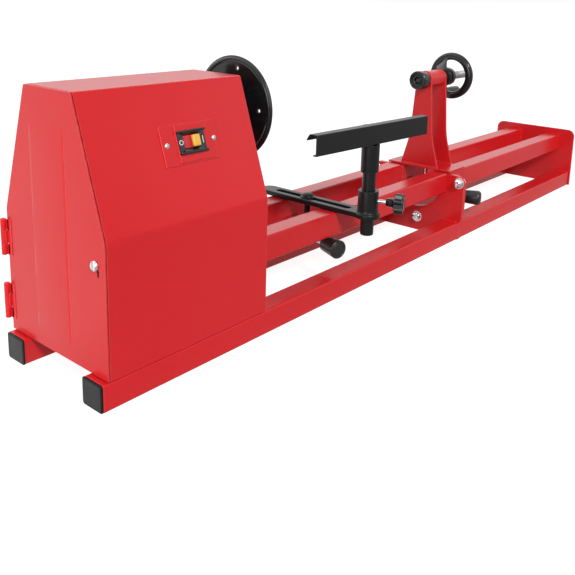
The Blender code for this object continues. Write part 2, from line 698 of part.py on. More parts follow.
def post_knob():
    """Seven-lobed knob on a steel screw that bears on the post."""
    centre = (ARM_X, POST_Y, KNOB_Z)
    place = aimed(centre, heading(KNOB_ANGLE))
    profile = [(10.8, 0), (10.8, 3.0), (29.0, 3.0), (29.0, 6.4), (38.0, 7.4), (41.0, 10.5)]
    profile += [(55.4, 10.5), (55.4, 0)]
    made = turned("post_knob", profile, "X", (0, 0), 14, pivot=centre, place=place)
    lobes = []
    for i in range(28):
        angle = 2 * math.pi * i / 28
        reach = 13.5 + 2.6 * math.cos(7 * angle)
        lobes.append((reach * math.cos(angle), reach * math.sin(angle)))
    head = prism("knob_head", lobes, "X", 41.4, 54.4, place=place)
    join(made, head)
    part(made, "black")


def lever(name, grip_name, bolt_x, angle, grip_from, grip_to, grip_radius, root_radius):
    centre = (bolt_x, 0, LEVER_Z)
    pivot = (bolt_x, 0, 0)
    place = aimed(centre, heading(angle))
    profile = [(60, 5.4), (60, 11.5), (72, 11.5), (74, 13.5), (79, 13.5), (79, 5.4)]
    hub = turned(name, profile, "Z", (bolt_x, 0), 16, pivot=pivot)
    join(hub, rod(f"{name}_rod", "X", (0, 0), 4.0, 8.0, grip_to - 8, 12, place=place))
    part(hub, "zinc")
    outer = [(grip_from, 0), (grip_from, root_radius), (grip_to - 2.0, grip_radius)]
    outer += [(grip_to, grip_radius - 2.0), (grip_to, 0)]
    grip = turned(grip_name, outer, "X", (0, 0), 18, pivot=pivot, place=place)
    cut(grip, rod(f"{grip_name}_bore", "X", (0, 0), 4.3, grip_from - 5, grip_to - 7.5, 12, place=place))
    part(grip, "black")


# --- tailstock ---------------------------------------------------------------------------------------


def cheek_outline():
    half = [(41.5, 130.3), (38.5, 141.0), (34.6, 154.0), (31.0, 166.0), (28.0, 177.0), (25.8, 187.0)]
    half += [(24.6, 197.0), (23.4, 212.0), (16.9, 294.0)]
    arc = []
    for i in range(1, 10):
        angle = math.radians(-6 + 192 * i / 10)
        arc.append((16.6 * math.cos(angle), SPINDLE_Z + 16.6 * math.sin(angle)))
    return half + arc + [(-y, z) for y, z in reversed(half)]


def tail_body():
    low = BED_TOP + GAP
    pivot = (TAIL_BOLT_X, 0, 0)
    base = prism("tail_base", rounded((820, -70), (884, 70), 4.0), "Z", low, low + 3.8, pivot=pivot)
    cut(base, rod("tail_base_hole", "Z", (TAIL_BOLT_X, 0), 5.5, low - 10, low + 10, 20))
    part(base, "paint")
    for side, x in (("left", CHEEK_X), ("right", CHEEK_GAP_RIGHT)):
        cheek = prism(f"tail_cheek_{side}", cheek_outline(), "X", x, x + 4.0, pivot=pivot)
        cut(cheek, rod(f"cheek_hole_{side}", "X", (0, SPINDLE_Z), SCREW_R + 0.4, x - 10, x + 10, 20))
        part(cheek, "paint")
    outer = ring_points((0, SPINDLE_Z), 16.3, 24)
    inner = ring_points((0, SPINDLE_Z), SCREW_R + 0.4, 24)
    barrel = pipe("tail_barrel", outer, inner, "X", CHEEK_X + 4 + GAP, CHEEK_GAP_RIGHT - GAP, pivot=pivot)
    smooth(barrel)
    part(barrel, "paint")


def tail_clamp():
    pivot = (TAIL_BOLT_X, 0, 0)
    top = BED_TOP + GAP + 3.8 + GAP
    profile = [(58, 0), (58, 5.0), (top, 5.0), (top, 11.0), (top + 2, 11.0), (top + 2, 8.8)]
    profile += [(top + 9, 8.4), (top + 9, 0)]
    part(turned("tail_clamp_bolt", profile, "Z", (TAIL_BOLT_X, 0), 16, pivot=pivot), "zinc")
    shelf = BED_TOP - BED_TUBE_H - GAP
    outline = rounded((TAIL_BOLT_X - 18, -44), (TAIL_BOLT_X + 18, 44), 6.0)
    plate = prism("tail_clamp_plate", outline, "Z", shelf - 7, shelf, pivot=pivot)
    low = (TAIL_BOLT_X - 15, -31, shelf - 1)
    join(plate, block("tail_clamp_guide", low, (TAIL_BOLT_X + 15, 31, shelf + 8)))
    cut(plate, rod("tail_clamp_hole", "Z", (TAIL_BOLT_X, 0), 5.4, shelf - 20, shelf + 20, 20))
    part(plate, "zinc")


def tail_screw():
    profile = [(807, 0), (807, 5.0), (819.6, 5.0), (819.6, SCREW_R), (998.5, SCREW_R), (1000, SCREW_R - 1.5)]
    profile += [(1000, 0)]
    made = turned("tail_screw", profile, "X", (0, SPINDLE_Z), 20, pivot=(TAIL_BOLT_X, 0, SPINDLE_Z))
    part(made, "steel")


def live_centre():
    """Cup centre: a rim, two grooves and a central point, on a blind bore that turns on the screw's end."""
    profile = [(794.2, 0), (799.6, 4.6), (796.6, 8.2), (799.2, 11.0), (796.0, 13.8), (796.0, 16.4)]
    profile += [(797.2, 17.8), (812.0, 17.8), (816.0, 16.2), (819.2, 16.2), (819.2, 0)]
    made = turned("live_centre", profile, "X", (0, SPINDLE_Z), 24, pivot=(807, 0, SPINDLE_Z))
    cut(made, rod("live_centre_bore", "X", (0, SPINDLE_Z), 5.3, 806.5, 830, 16))
    part(made, "black")


CRANK = (18.5, -34.0)
SPOKES = {"upper": math.radians(50.0), "lower": math.radians(-60.0)}
SPOKE_STATIONS = ((12.0, -20.5, 10.0), (21.0, -16.0, 12.0), (29.0, -8.5, 15.5), (36.5, -1.0, 24.0))


def wheel_spoke(name, angle):
    """A spoke of the dished wheel: stations of (radius, distance from the rim's plane, half width)."""
    points = []
    for reach, depth, half in SPOKE_STATIONS:
        for x, y in ((-3.4, -half), (3.4, -half), (3.4, half), (-3.4, half)):
            points.append((depth + x, reach, y))
    faces = [(3, 2, 1, 0), (12, 13, 14, 15)]
    for i in range(0, 12, 4):
        for j in range(4):
            k = (j + 1) % 4
            faces.append((i + j, i + k, i + k + 4, i + j + 4))
    place = Matrix.Translation((WHEEL_X, 0, SPINDLE_Z)) @ Matrix.Rotation(angle, 4, "X")
    return solid(name, points, faces, place=place)


def handwheel():
    pivot = (WHEEL_X, 0, SPINDLE_Z)
    centre = (0, SPINDLE_Z)
    rim = []
    for i in range(8):
        angle = 2 * math.pi * (i + 0.5) / 8
        rim.append((WHEEL_X + 6.6 * math.cos(angle), 39.8 + 7.6 * math.sin(angle)))
    made = turned("handwheel", rim, "X", centre, 28, pivot=pivot)
    hub = [(884.0, 0), (884.0, 14.5), (886, 15.5), (898, 15.5), (900, 18.2), (917, 18.2), (918, 17.4), (918, 0)]
    for spot, angle in SPOKES.items():
        join(made, wheel_spoke(f"wheel_spoke_{spot}", angle))
    join(made, turned("wheel_hub", hub, "X", centre, 20))
    join(made, rod("wheel_hex", "X", centre, 17.2, 916, 922, 6))
    cut(made, rod("wheel_bore", "X", centre, SCREW_R + 0.4, 870, 960, 20))
    crank = (CRANK[0], SPINDLE_Z + CRANK[1])
    cut(made, rod("wheel_crank_hole", "X", crank, 3.0, 900, 960, 12))
    part(made, "black")


def crank_grip():
    centre = (CRANK[0], SPINDLE_Z + CRANK[1])
    pivot = (WHEEL_X, *centre)
    profile = [(926.5, 0), (926.5, 2.7), (939.5, 2.7), (939.5, 6.0), (966, 7.0), (994, 6.4), (998.6, 4.2)]
    profile += [(1000, 0)]
    part(turned("crank_grip", profile, "X", centre, 16, pivot=pivot), "black")


rails()
joint()
tail_plate()
end_caps()
bulkhead()
cover()
hinge_leaves()
door()
latch()
switch()
gland()
bearing_bracket()
bearings()
spindle()
faceplate()
pulley("spindle_pulley", SPINDLE_STEPS, SPINDLE_Z, 10.3, (0, 0, SPINDLE_Z))
pulley("motor_pulley", MOTOR_STEPS, MOTOR_Z, 7.3, (0, 0, MOTOR_Z))
belt()
motor()
motor_shaft()
rest_clamp()
rest_arm()
rest_post()
rest_bar()
collar_screw()
post_knob()
lever("rest_lever", "rest_lever_grip", ARM_X, REST_LEVER_ANGLE, 46, 85, 15.0, 9.8)
tail_body()
tail_clamp()
lever("tail_lever", "tail_lever_grip", TAIL_BOLT_X, TAIL_LEVER_ANGLE, 59, 113, 14.1, 11.4)
tail_screw()
live_centre()
handwheel()
crank_grip()
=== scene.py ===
"""Looks for the wood lathe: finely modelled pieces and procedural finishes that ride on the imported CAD
bodies. Shapes are drawn in the same shop frame as the part's source: millimetres, x from the left end of
the base, y from the bed's centre plane, z up from the floor."""

import math

import bmesh
import bpy
from mathutils import Matrix, Vector


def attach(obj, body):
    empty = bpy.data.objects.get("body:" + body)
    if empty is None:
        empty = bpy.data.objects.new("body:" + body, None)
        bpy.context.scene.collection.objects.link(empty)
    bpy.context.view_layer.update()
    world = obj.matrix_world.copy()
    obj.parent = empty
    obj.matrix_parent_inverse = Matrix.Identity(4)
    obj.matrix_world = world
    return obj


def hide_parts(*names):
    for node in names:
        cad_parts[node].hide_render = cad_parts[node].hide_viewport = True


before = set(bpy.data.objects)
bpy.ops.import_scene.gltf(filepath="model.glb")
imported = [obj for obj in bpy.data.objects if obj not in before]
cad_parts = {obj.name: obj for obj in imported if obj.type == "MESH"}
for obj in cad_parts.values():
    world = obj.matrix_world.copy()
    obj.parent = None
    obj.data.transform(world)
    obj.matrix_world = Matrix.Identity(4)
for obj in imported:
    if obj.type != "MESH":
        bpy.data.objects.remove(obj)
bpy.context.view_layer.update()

ORIGIN = Vector((702.5, -33.079, 0.0))  # the frame's origin: the middle of the CAD box, on the floor

BASE_LEFT, BASE_HALF, BASE_W, BASE_H = 4.0, 98.5, 35.5, 34.2
BED_LEFT, BED_HALF, BED_W, BED_H, BED_TOP = 32.0, 67.5, 33.5, 38.5, 126.0
WALL = 2.0
JOINT_X, JOINT_HALF, PLATE_T, GAP = 815.0, 104.5, 5.0, 0.3
TAIL_X, TAIL_TOP, PLATE_HALF = 1400.0, 139.5, 101.5
COVER_LEFT, COVER_RIGHT, COVER_BOTTOM, COVER_HALF = 11.9, 265.5, 35.7, 99.0
KINK_Z, COVER_TOP, COVER_TOP_HALF, SHEET = 194.7, 351.6, 46.2, 1.6
DOOR_X, SPINDLE_Z, MOTOR_Z = 9.5, 300.4, 192.0
HINGE_X, HINGE_Y, HINGE_R, HINGES_Z = 6.5, 103.5, 3.6, (73.5, 157.0)
LATCH, GLAND = (-80.6, 167.0), (225.0, 62.0)
BEARINGS_X = (111.0, 245.0)
STEP_W, PULLEY_X = 16.0, 36.0
SPINDLE_STEPS, MOTOR_STEPS = (44.0, 39.0, 33.5, 27.5), (17.0, 22.0, 27.5, 33.5)
ARM_X, ARM_HALF, POST_Y, LEVER_Z = 473.0, 15.5, -118.0, 70.0
ARM_END, ARM_SLOT, SLOT_HALF, SOCKET_TOP, COLLAR_SCREW_Z = 82.5, (-80.0, 60.0), 5.6, 169.4, 206.5
REST_YAW, REST_LEN = math.radians(-4.0), 264.0
KNOB_Z, KNOB_ANGLE = 154.0, math.radians(-71.0)
CHEEK_X, CHEEK_RIGHT, TAIL_BOLT_X, WHEEL_X, SCREW_R = 822.0, 878.0, 852.0, 931.5, 7.9
REST_LEVER_ANGLE, TAIL_LEVER_ANGLE = math.radians(-104.5), math.radians(-71.4)
CRANK = (18.5, -34.0)


# --- finishes ----------------------------------------------------------------------------------------


class Graph:
    """Short names for building the nodes of a material or of the world."""

    def __init__(self, owner):
        owner.use_nodes = True
        self.owner = owner
        self.nodes, self.links = owner.node_tree.nodes, owner.node_tree.links
        self.places = self.nodes.new("ShaderNodeTexCoord").outputs

    def feed(self, sockets, inputs):
        """Gives sockets a fixed number or colour, or links them to the output of another node."""
        for key, value in inputs.items():
            socket = sockets[key.replace("_", " ")]
            if isinstance(value, bpy.types.NodeSocket):
                self.links.new(value, socket)
            else:
                socket.default_value = value

    def node(self, kind, **inputs):
        made = self.nodes.new("ShaderNode" + kind)
        self.feed(made.inputs, inputs)
        return made

    def surface(self, **inputs):
        self.feed(self.nodes["Principled BSDF"].inputs, inputs)

    def noise(self, scale, detail=2.0, stretch=(1, 1, 1)):
        place = self.node("Mapping", Vector=self.places["Object"], Scale=stretch).outputs["Vector"]
        return self.node("TexNoise", Vector=place, Scale=scale, Detail=detail).outputs["Fac"]

    def ramp(self, value, low, high):
        """Spreads the middle of a noise over two colours or two grey levels."""
        made = self.node("ValToRGB", Fac=value)
        made.color_ramp.interpolation = "EASE"
        for end, position, level in zip(made.color_ramp.elements, (0.25, 0.75), (low, high)):
            end.position = position
            end.color = level if hasattr(level, "__len__") else (level, level, level, 1)
        return made.outputs["Color"]

    def mapped(self, value, span, result):
        """Spreads a value over a result. Each end of the result is a number or a socket."""
        ends = {"From_Min": span[0], "From_Max": span[1], "To_Min": result[0], "To_Max": result[1]}
        return self.node("MapRange", Value=value, **ends).outputs["Result"]

    def edges(self, radius):
        """1 on the sharp edges and 0 on the faces, broken up by a noise. It places the painted edge
        highlight.
        """
        rounded = self.node("Bevel", Radius=radius)
        rounded.samples = 4
        compared = self.node("VectorMath")
        compared.operation = "DOT_PRODUCT"
        self.links.new(rounded.outputs["Normal"], compared.inputs[0])
        self.links.new(self.node("NewGeometry").outputs["Normal"], compared.inputs[1])
        patchy = self.mapped(self.noise(90.0, 3.0), (0.3, 0.6), (0.35, 1.0))
        return self.mapped(compared.outputs["Value"], (0.8, 0.985), (patchy, 0.0))

    def blend(self, share, first, second):
        made = self.node("Mix")
        made.data_type = "RGBA"
        self.feed(made.inputs, {"Factor": share, "A": first, "B": second})
        return made.outputs["Result"]

    def bump(self, value, strength, distance):
        return self.node("Bump", Strength=strength, Distance=distance, Height=value).outputs["Normal"]


def shade(colour, factor):
    return tuple(c * factor for c in colour) + (1,)


def powder_coat(name, slot, colour, rough, gloss, edge_sheen_and_wear, spread=0.02, grain=0.012):
    """Sprayed finish: faint cloudiness, orange peel, and a lighter colour painted along the sharp edges, a
    painted highlight that also stands for paint rubbed thin there.
    """
    g = Graph(bpy.data.materials.new(name))
    coat = g.ramp(g.noise(5.0, 3.0), shade(colour, 1 - spread), shade(colour, 1 + spread))
    # painted highlight: the sharp edges get a lighter colour, for light catching them and for paint rubbed
    # thin
    g.surface(
        Base_Color=g.blend(g.edges(0.0015), coat, shade(edge_sheen_and_wear, 1)),
        Roughness=g.ramp(g.noise(26.0, 5.0), rough * 0.96, rough * 1.05),
        Normal=g.bump(g.noise(420.0, 1.0), grain, 0.0002),
        Specular_IOR_Level=gloss,
    )
    return slot, g.owner


def plated(name, slot, colour, rough, stretch=(1, 1, 1)):
    """Metal with fine machining marks and slightly uneven tarnish."""
    g = Graph(bpy.data.materials.new(name))
    g.surface(
        Base_Color=g.ramp(g.noise(60.0, 4.0), shade(colour, 0.86), shade(colour, 1.06)),
        Roughness=g.ramp(g.noise(180.0, 3.0, stretch), rough * 0.7, rough * 1.5),
        Normal=g.bump(g.noise(900.0, 2.0, stretch), 0.06, 0.0002),
        Metallic=1.0,
    )
    return slot, g.owner


def moulded(name, slot, colour, rough, grain=0.08, gloss=0.5):
    """Plastic or rubber with a fine texture and rubbed, slightly shinier patches."""
    g = Graph(bpy.data.materials.new(name))
    g.surface(
        Base_Color=g.ramp(g.noise(30.0, 3.0), shade(colour, 0.85), shade(colour, 1.2)),
        Roughness=g.ramp(g.noise(22.0, 4.0), rough * 0.8, rough * 1.15),
        Normal=g.bump(g.noise(800.0, 2.0), grain, 0.0003),
        Specular_IOR_Level=gloss,
    )
    return slot, g.owner


# the second black is painted along sharp edges: a painted edge highlight, and enamel rubbed thin
BLACK, EDGE_SHEEN_AND_WEAR_BLACK = (0.0085, 0.009, 0.0098), (0.07, 0.072, 0.074)
GREY = (0.035, 0.04, 0.045)
# the last colour of each coat is painted along its sharp edges, as a painted highlight and as rubbed paint
RED = powder_coat("red powder coat", "red_paint", (0.66, 0.014, 0.0185), 0.26, 0.3, (0.8, 0.13, 0.13))
DARK = powder_coat("black enamel", "black_paint", (0.008, 0.0082, 0.0086), 0.36, 0.25, EDGE_SHEEN_AND_WEAR_BLACK, 0.15, 0.05)
GLOSS_BLACK = powder_coat("glossy black enamel", "black_paint", BLACK, 0.15, 0.42, EDGE_SHEEN_AND_WEAR_BLACK, 0.15, 0.01)
MOTOR_PAINT = powder_coat("motor enamel", "motor_paint", GREY, 0.45, 0.3, EDGE_SHEEN_AND_WEAR_BLACK, 0.15, 0.15)
GRIP = moulded("black grip plastic", "black_plastic", (0.012, 0.0122, 0.013), 0.34)
BLACK_PLASTIC = moulded("black plastic", "black_plastic", (0.01, 0.01, 0.011), 0.42)
CASE_PLASTIC = moulded("glossy black plastic", "black_plastic", (0.004, 0.004, 0.0045), 0.16, 0.01)
CAP_FACE = moulded("end cap face", "black_plastic", (0.036, 0.037, 0.038), 0.5, gloss=0.15)
CAP_RIM = moulded("end cap rim", "black_plastic", (0.006, 0.006, 0.0065), 0.4, 0.02, 0.15)
RUBBER = moulded("belt rubber", "rubber", (0.02, 0.02, 0.02), 0.8, 0.2)
ZINC = plated("bright zinc", "zinc", (0.72, 0.72, 0.73), 0.2)
STEEL = plated("turned steel", "steel", (0.5, 0.5, 0.51), 0.3, (1, 6, 6))
ALUMINIUM = plated("turned aluminium", "aluminium", (0.6, 0.61, 0.63), 0.36, (6, 1, 1))
PADDLE = moulded("red switch plastic", "red_plastic", (0.55, 0.012, 0.03), 0.3, 0.03)
KEY_YELLOW = moulded("yellow switch plastic", "yellow_plastic", (0.85, 0.48, 0.06), 0.34, 0.03)
MARK_WHITE = moulded("white switch marks", "black_plastic", (0.75, 0.75, 0.74), 0.5, 0.02)
# near-black painted shade, put where there is only shadow: behind the keyhole and round the switch screw
# heads
PAINTED_SHADE = moulded("painted shade black", "red_paint", (0.012, 0.004, 0.004), 0.9, 0.0)


# --- shapes ------------------------------------------------------------------------------------------


def placed(name, data):
    made = bpy.data.objects.new(name, data)
    bpy.context.scene.collection.objects.link(made)
    return made


def solid(name, points, faces, place=None):
    mesh = bpy.data.meshes.new(name)
    moved = [place @ Vector(p) if place else Vector(p) for p in points]
    mesh.from_pydata([(p - ORIGIN) / 1000 for p in moved], [], faces)
    shape = bmesh.new()
    shape.from_mesh(mesh)
    bmesh.ops.recalc_face_normals(shape, faces=shape.faces)
    shape.to_mesh(mesh)
    shape.free()
    return placed(name, mesh)


def smooth(target, angle=35):
    target.data.shade_smooth()
    target.data.set_sharp_from_angle(angle=math.radians(angle))
    return target


def on_axis(axis, along, a, b):
    return {"X": (along, a, b), "Y": (a, along, b), "Z": (a, b, along)}[axis]


def soften(points, radius, steps=3, closed=True):
    """Rounds the corners of an outline or a profile. The radius is one for all of them, or one for each."""
    radii = radius if hasattr(radius, "__len__") else [radius] * len(points)
    made = []
    for i, point in enumerate(points):
        if not closed and i in (0, len(points) - 1):
            made.append(tuple(point))
            continue
        here = Vector(point)
        before = Vector(points[i - 1]) - here
        after = Vector(points[(i + 1) % len(points)]) - here
        reach = min(radii[i], 0.45 * before.length, 0.45 * after.length)
        start, end = here + before.normalized() * reach, here + after.normalized() * reach
        for k in range(steps + 1):
            t = k / steps
            made.append(tuple(start * (1 - t) ** 2 + here * 2 * t * (1 - t) + end * t * t))
    return made


def rectangle(low, high):
    return [(low[0], low[1]), (high[0], low[1]), (high[0], high[1]), (low[0], high[1])]


def prism(name, outline, axis, low, high, place=None):
    count = len(outline)
    points = [on_axis(axis, low, a, b) for a, b in outline] + [on_axis(axis, high, a, b) for a, b in outline]
    faces = [tuple(range(count)), tuple(range(2 * count - 1, count - 1, -1))]
    for i in range(count):
        j = (i + 1) % count
        faces.append((i, j, count + j, count + i))
    return solid(name, points, faces, place)


def pipe(name, outer, inner, axis, low, high, place=None):
    count, faces = len(outer), []
    points = [on_axis(axis, along, a, b) for along in (low, high) for a, b in outer + inner]
    for i in range(count):
        j = (i + 1) % count
        for a, b in ((0, 2), (1, 3), (0, 1), (2, 3)):
            faces.append((a * count + i, a * count + j, b * count + j, b * count + i))
    return solid(name, points, faces, place)


def block(name, low, high, place=None):
    return prism(name, rectangle(low[1:], high[1:]), "X", low[0], high[0], place)


def arc(centre, radius, start, sweep, steps):
    """Points along an arc, whose angles are in degrees."""
    turns = [math.radians(start + sweep * i / steps) for i in range(steps + 1)]
    return [(centre[0] + radius * math.cos(turn), centre[1] + radius * math.sin(turn)) for turn in turns]


def circle(centre, radius, count):
    return arc(centre, radius, 0, 360, count)[:-1]


def rod(name, axis, centre, radius, low, high, count=48, place=None):
    return prism(name, circle(centre, radius, count), axis, low, high, place)


def skin(name, rings, place=None, loop=False):
    """Skins a row of rings of points. The row closes on itself, or its first and last rings are filled."""
    count, last = len(rings[0]), len(rings) - 1
    faces = []
    for k in range(last + loop):
        n = (k + 1) % len(rings)
        for i in range(count):
            j = (i + 1) % count
            faces.append((k * count + i, k * count + j, n * count + j, n * count + i))
    if not loop:
        faces.append(tuple(range(count)))
        faces.append(tuple(range(last * count + count - 1, last * count - 1, -1)))
    return solid(name, [point for ring in rings for point in ring], faces, place)


def turned(name, profile, axis="X", centre=(0, SPINDLE_Z), count=72, place=None, soft=0.5, angle=40):
    """A turned solid from (along the axis, radius), on the spindle's line unless told otherwise. The profile
    runs from the axis back to the axis, or is a closed loop clear of it."""
    whole = profile[0][1] == 0
    rims = soften(profile, soft, 3, closed=not whole) if soft else list(profile)
    rings = []
    for along, radius in rims:
        if radius > 0:
            rings.append([on_axis(axis, along, a, b) for a, b in circle(centre, radius, count)])
    return smooth(skin(name, rings, place, loop=not whole), angle)


def sleeve(low, high, inner, outer):
    """The profile of a plain sleeve, or of a disc where the inner radius is 0."""
    return [(low, inner), (low, outer), (high, outer), (high, inner)]


def thread(name, axis_low, axis_high, radius, depth, pitch, count=36, place=None, centre=(0.0, 0.0)):
    """A helical strip along X: one turn of the screw's ridge after another."""
    root = radius - depth
    shape = ((0.0, root), (0.22, root), (0.42, radius), (0.78, radius), (1.0, root))
    turns = int((axis_high - axis_low) / pitch) - 1
    points, faces = [], []
    for k in range(turns * count + 1):
        angle = 2 * math.pi * k / count
        base = axis_low + pitch * k / count
        for share, reach in shape:
            a, b = centre[0] + reach * math.cos(angle), centre[1] + reach * math.sin(angle)
            points.append((base + share * pitch, a, b))
    width = len(shape)
    for k in range(turns * count):
        for j in range(width - 1):
            a = k * width + j
            faces.append((a, a + 1, a + 1 + width, a + width))
    return smooth(solid(name, points, faces, place), 30)


def aimed(centre, direction):
    turn = Vector((1, 0, 0)).rotation_difference(Vector(direction).normalized())
    return Matrix.Translation(Vector(centre)) @ turn.to_matrix().to_4x4()


def heading(angle):
    return (math.cos(angle), math.sin(angle), 0.0)


def boolean(target, operation, *tools):
    for tool in tools:
        tool.hide_render = True
        tool.hide_viewport = True
        step = target.modifiers.new(operation.lower(), "BOOLEAN")
        step.operation = operation
        step.solver = "EXACT"
        step.object = tool
    return target


def settle(target):
    """Applies the modifiers and removes the shapes they used."""
    tools = [m.object for m in target.modifiers if m.type == "BOOLEAN"]
    for tool in tools:
        tool.hide_viewport = False
    bpy.context.view_layer.update()
    graph = bpy.context.evaluated_depsgraph_get()
    mesh = bpy.data.meshes.new_from_object(target.evaluated_get(graph))
    target.modifiers.clear()
    target.data = mesh
    for tool in tools:
        bpy.data.objects.remove(tool, do_unlink=True)
    return target


def cut(target, *tools):
    return settle(boolean(target, "DIFFERENCE", *tools))


def bevel(target, width, segments=2, angle=32):
    """Rounds the edges, and keeps the flat faces flat in the shading."""
    step = target.modifiers.new("bevel", "BEVEL")
    step.width = width / 1000
    step.segments = segments
    step.limit_method = "ANGLE"
    step.angle_limit = math.radians(angle)
    step.use_clamp_overlap = True
    settle(target)
    smooth(target, 44)
    target.modifiers.new("normals", "WEIGHTED_NORMAL").keep_sharp = True
    return target


def piece(made, body, finish, *nodes, slot=None):
    """Gives a shape its finish, its body and the nodes that it replaces. The slot is not used, neither the
    one named nor the finish's own."""
    own_slot, material = finish
    made.data.materials.clear()
    made.data.materials.append(material)
    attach(made, body)
    if nodes:
        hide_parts(*nodes)
    return made


# --- bed frame ---------------------------------------------------------------------------------------


def rail(name, y_low, y_high, z_low, z_high, x_low, x_high):
    outer = soften(rectangle((y_low, z_low), (y_high, z_high)), 3.4, 5)
    inner = soften(rectangle((y_low + WALL, z_low + WALL), (y_high - WALL, z_high - WALL)), 1.6, 5)
    made = pipe(name + "_tube", outer, inner, "X", x_low, x_high)
    piece(bevel(made, 0.8, 3, 50), "frame", RED, name)


def rails():
    past = JOINT_X + 2 * PLATE_T + 2 * GAP - 0.25
    halves = (("head", BASE_LEFT - 1.2, BED_LEFT, JOINT_X - 0.05), ("tail", past, past, TAIL_X - 0.05))
    for half, base_from, bed_from, to in halves:
        for side, sign in (("front", -1), ("rear", 1)):
            ys = sorted((sign * BASE_HALF, sign * (BASE_HALF - BASE_W)))
            rail(f"base_rail_{side}_{half}", ys[0], ys[1], 0, BASE_H, base_from, to)
            ys = sorted((sign * BED_HALF, sign * (BED_HALF - BED_W)))
            rail(f"bed_rail_{side}_{half}", ys[0], ys[1], BED_TOP - BED_H, BED_TOP, bed_from, to)


def upright_outline(half, top, radius):
    points = [(-half, 0.0), (half, 0.0)]
    for start, middle in ((0, half - radius), (90, radius - half)):
        points += arc((middle, top - radius), radius, start, 90, 10)
    return points


def joint_outline():
    top, shelf = BED_TOP - 1.0, BED_TOP - BED_H
    centre, radius, slot = 106.0, 57.0, BED_HALF - BED_W
    reach = math.degrees(math.asin((centre - shelf) / radius))
    outline = [p for p in upright_outline(JOINT_HALF, top, 20.0)[2:] if abs(p[0]) > slot]
    side = [(BASE_HALF, 0.0), (BASE_HALF, 33.0), (JOINT_HALF - 1.0, 36.5), (JOINT_HALF, 60.0)]
    side = soften(side, 2.0, closed=False)
    dip = arc((0, centre), radius, -reach, 2 * reach - 180, 36)
    opening = [(slot, top), (slot, shelf)] + dip + [(-slot, shelf), (-slot, top)]
    right, left = [p for p in outline if p[0] > 0], [p for p in outline if p[0] < 0]
    return [(-BASE_HALF, 0.0)] + side + right + opening + left + [(-y, z) for y, z in reversed(side[1:])]


JOINT_BOLTS = {"front": (-94.0, 111.5), "rear": (94.0, 111.5), "low": (-8.0, 28.0)}


def joint():
    for half, low in (("head", JOINT_X), ("tail", JOINT_X + PLATE_T + GAP - 0.1)):
        made = bevel(prism(f"joint_plate_{half}_steel", joint_outline(), "X", low, low + PLATE_T), 0.3)
        piece(made, "frame", RED, f"joint_plate_{half}")
    face, back = JOINT_X - 0.05, JOINT_X + 2 * PLATE_T + GAP
    for spot, centre in JOINT_BOLTS.items():
        washer = turned(f"joint_washer_{spot}", sleeve(face - 1.6, face, 5, 10.8), "X", centre, soft=0.4)
        piece(washer, "frame", ZINC, f"joint_bolt_{spot}")
        dome = [(face - 8.8, 0), (face - 8.8, 3.4), (face - 7.9, 6.0), (face - 6.0, 8.1)]
        dome += [(face - 1.7, 9.2), (face - 1.7, 0)]
        head = turned(f"joint_head_{spot}", dome, "X", centre, soft=1.2)
        cut(head, rod(f"joint_socket_{spot}", "X", centre, 3.6, face - 12, face - 4.6, 6))
        piece(smooth(head, 40), "frame", ZINC)
        nut = bevel(rod(f"joint_nut_{spot}", "X", centre, 7.6, back + 0.6, back + 4.6, 6), 0.5)
        piece(nut, "frame", ZINC)
        piece(turned(f"joint_seat_{spot}", sleeve(back, back + 0.8, 5, 8.0), "X", centre), "frame", ZINC)
        tip = [(back, 0), (back, 4.6), (back + 4.4, 4.6), (back + 5.2, 0)]
        piece(turned(f"joint_tip_{spot}", tip, "X", centre), "frame", ZINC)


def tail_plate():
    outline = upright_outline(PLATE_HALF, TAIL_TOP, 16.0)
    made = bevel(prism("tail_plate_steel", outline, "X", TAIL_X, TAIL_X + 5), 0.8)
    piece(made, "frame", RED, "tail_plate")


def end_caps():
    for side, sign in (("front", -1), ("rear", 1)):
        ys = sorted((sign * (BASE_HALF - 0.2), sign * (BASE_HALF - BASE_W - 1.2)))
        outline = soften(rectangle((ys[0], 0.0), (ys[1], BASE_H - 0.2)), 4.0, 5)
        made = bevel(prism(f"base_cap_{side}", outline, "X", 0.5, 2.6), 0.6, 3)
        piece(made, "frame", CAP_RIM, f"end_cap_{side}")
        field = soften(rectangle((ys[0] + 2.2, 2.2), (ys[1] - 2.2, BASE_H - 2.4)), 3.0, 5)
        made = bevel(prism(f"base_cap_field_{side}", field, "X", 0, 0.9), 0.4, 2)
        piece(made, "frame", CAP_FACE)


def bulkhead():
    outline = soften(rectangle((-97.0, BASE_H + GAP), (97.0, BED_TOP - 4)), 6, 5)
    made = bevel(prism("bulkhead_steel", outline, "X", BED_LEFT - 5.3, BED_LEFT - GAP), 0.6)
    piece(made, "frame", RED, "headstock_bulkhead")


def weld(name, start, end, radius, body="frame"):
    """A bead of weld metal, slightly uneven along its length."""
    a, b = Vector(start), Vector(end)
    length = (b - a).length
    steps = max(6, int(length / 1.6))
    rings = []
    for k in range(steps + 1):
        swell = radius * (1 + 0.12 * math.sin(2.4 * k) + 0.05 * math.sin(5.1 * k))
        if k in (0, steps):
            swell *= 0.3
        rings.append([(length * k / steps, y, z) for y, z in circle((0, 0), swell, 10)])
    piece(smooth(skin(name, rings, aimed(a, b - a)), 60), body, RED)


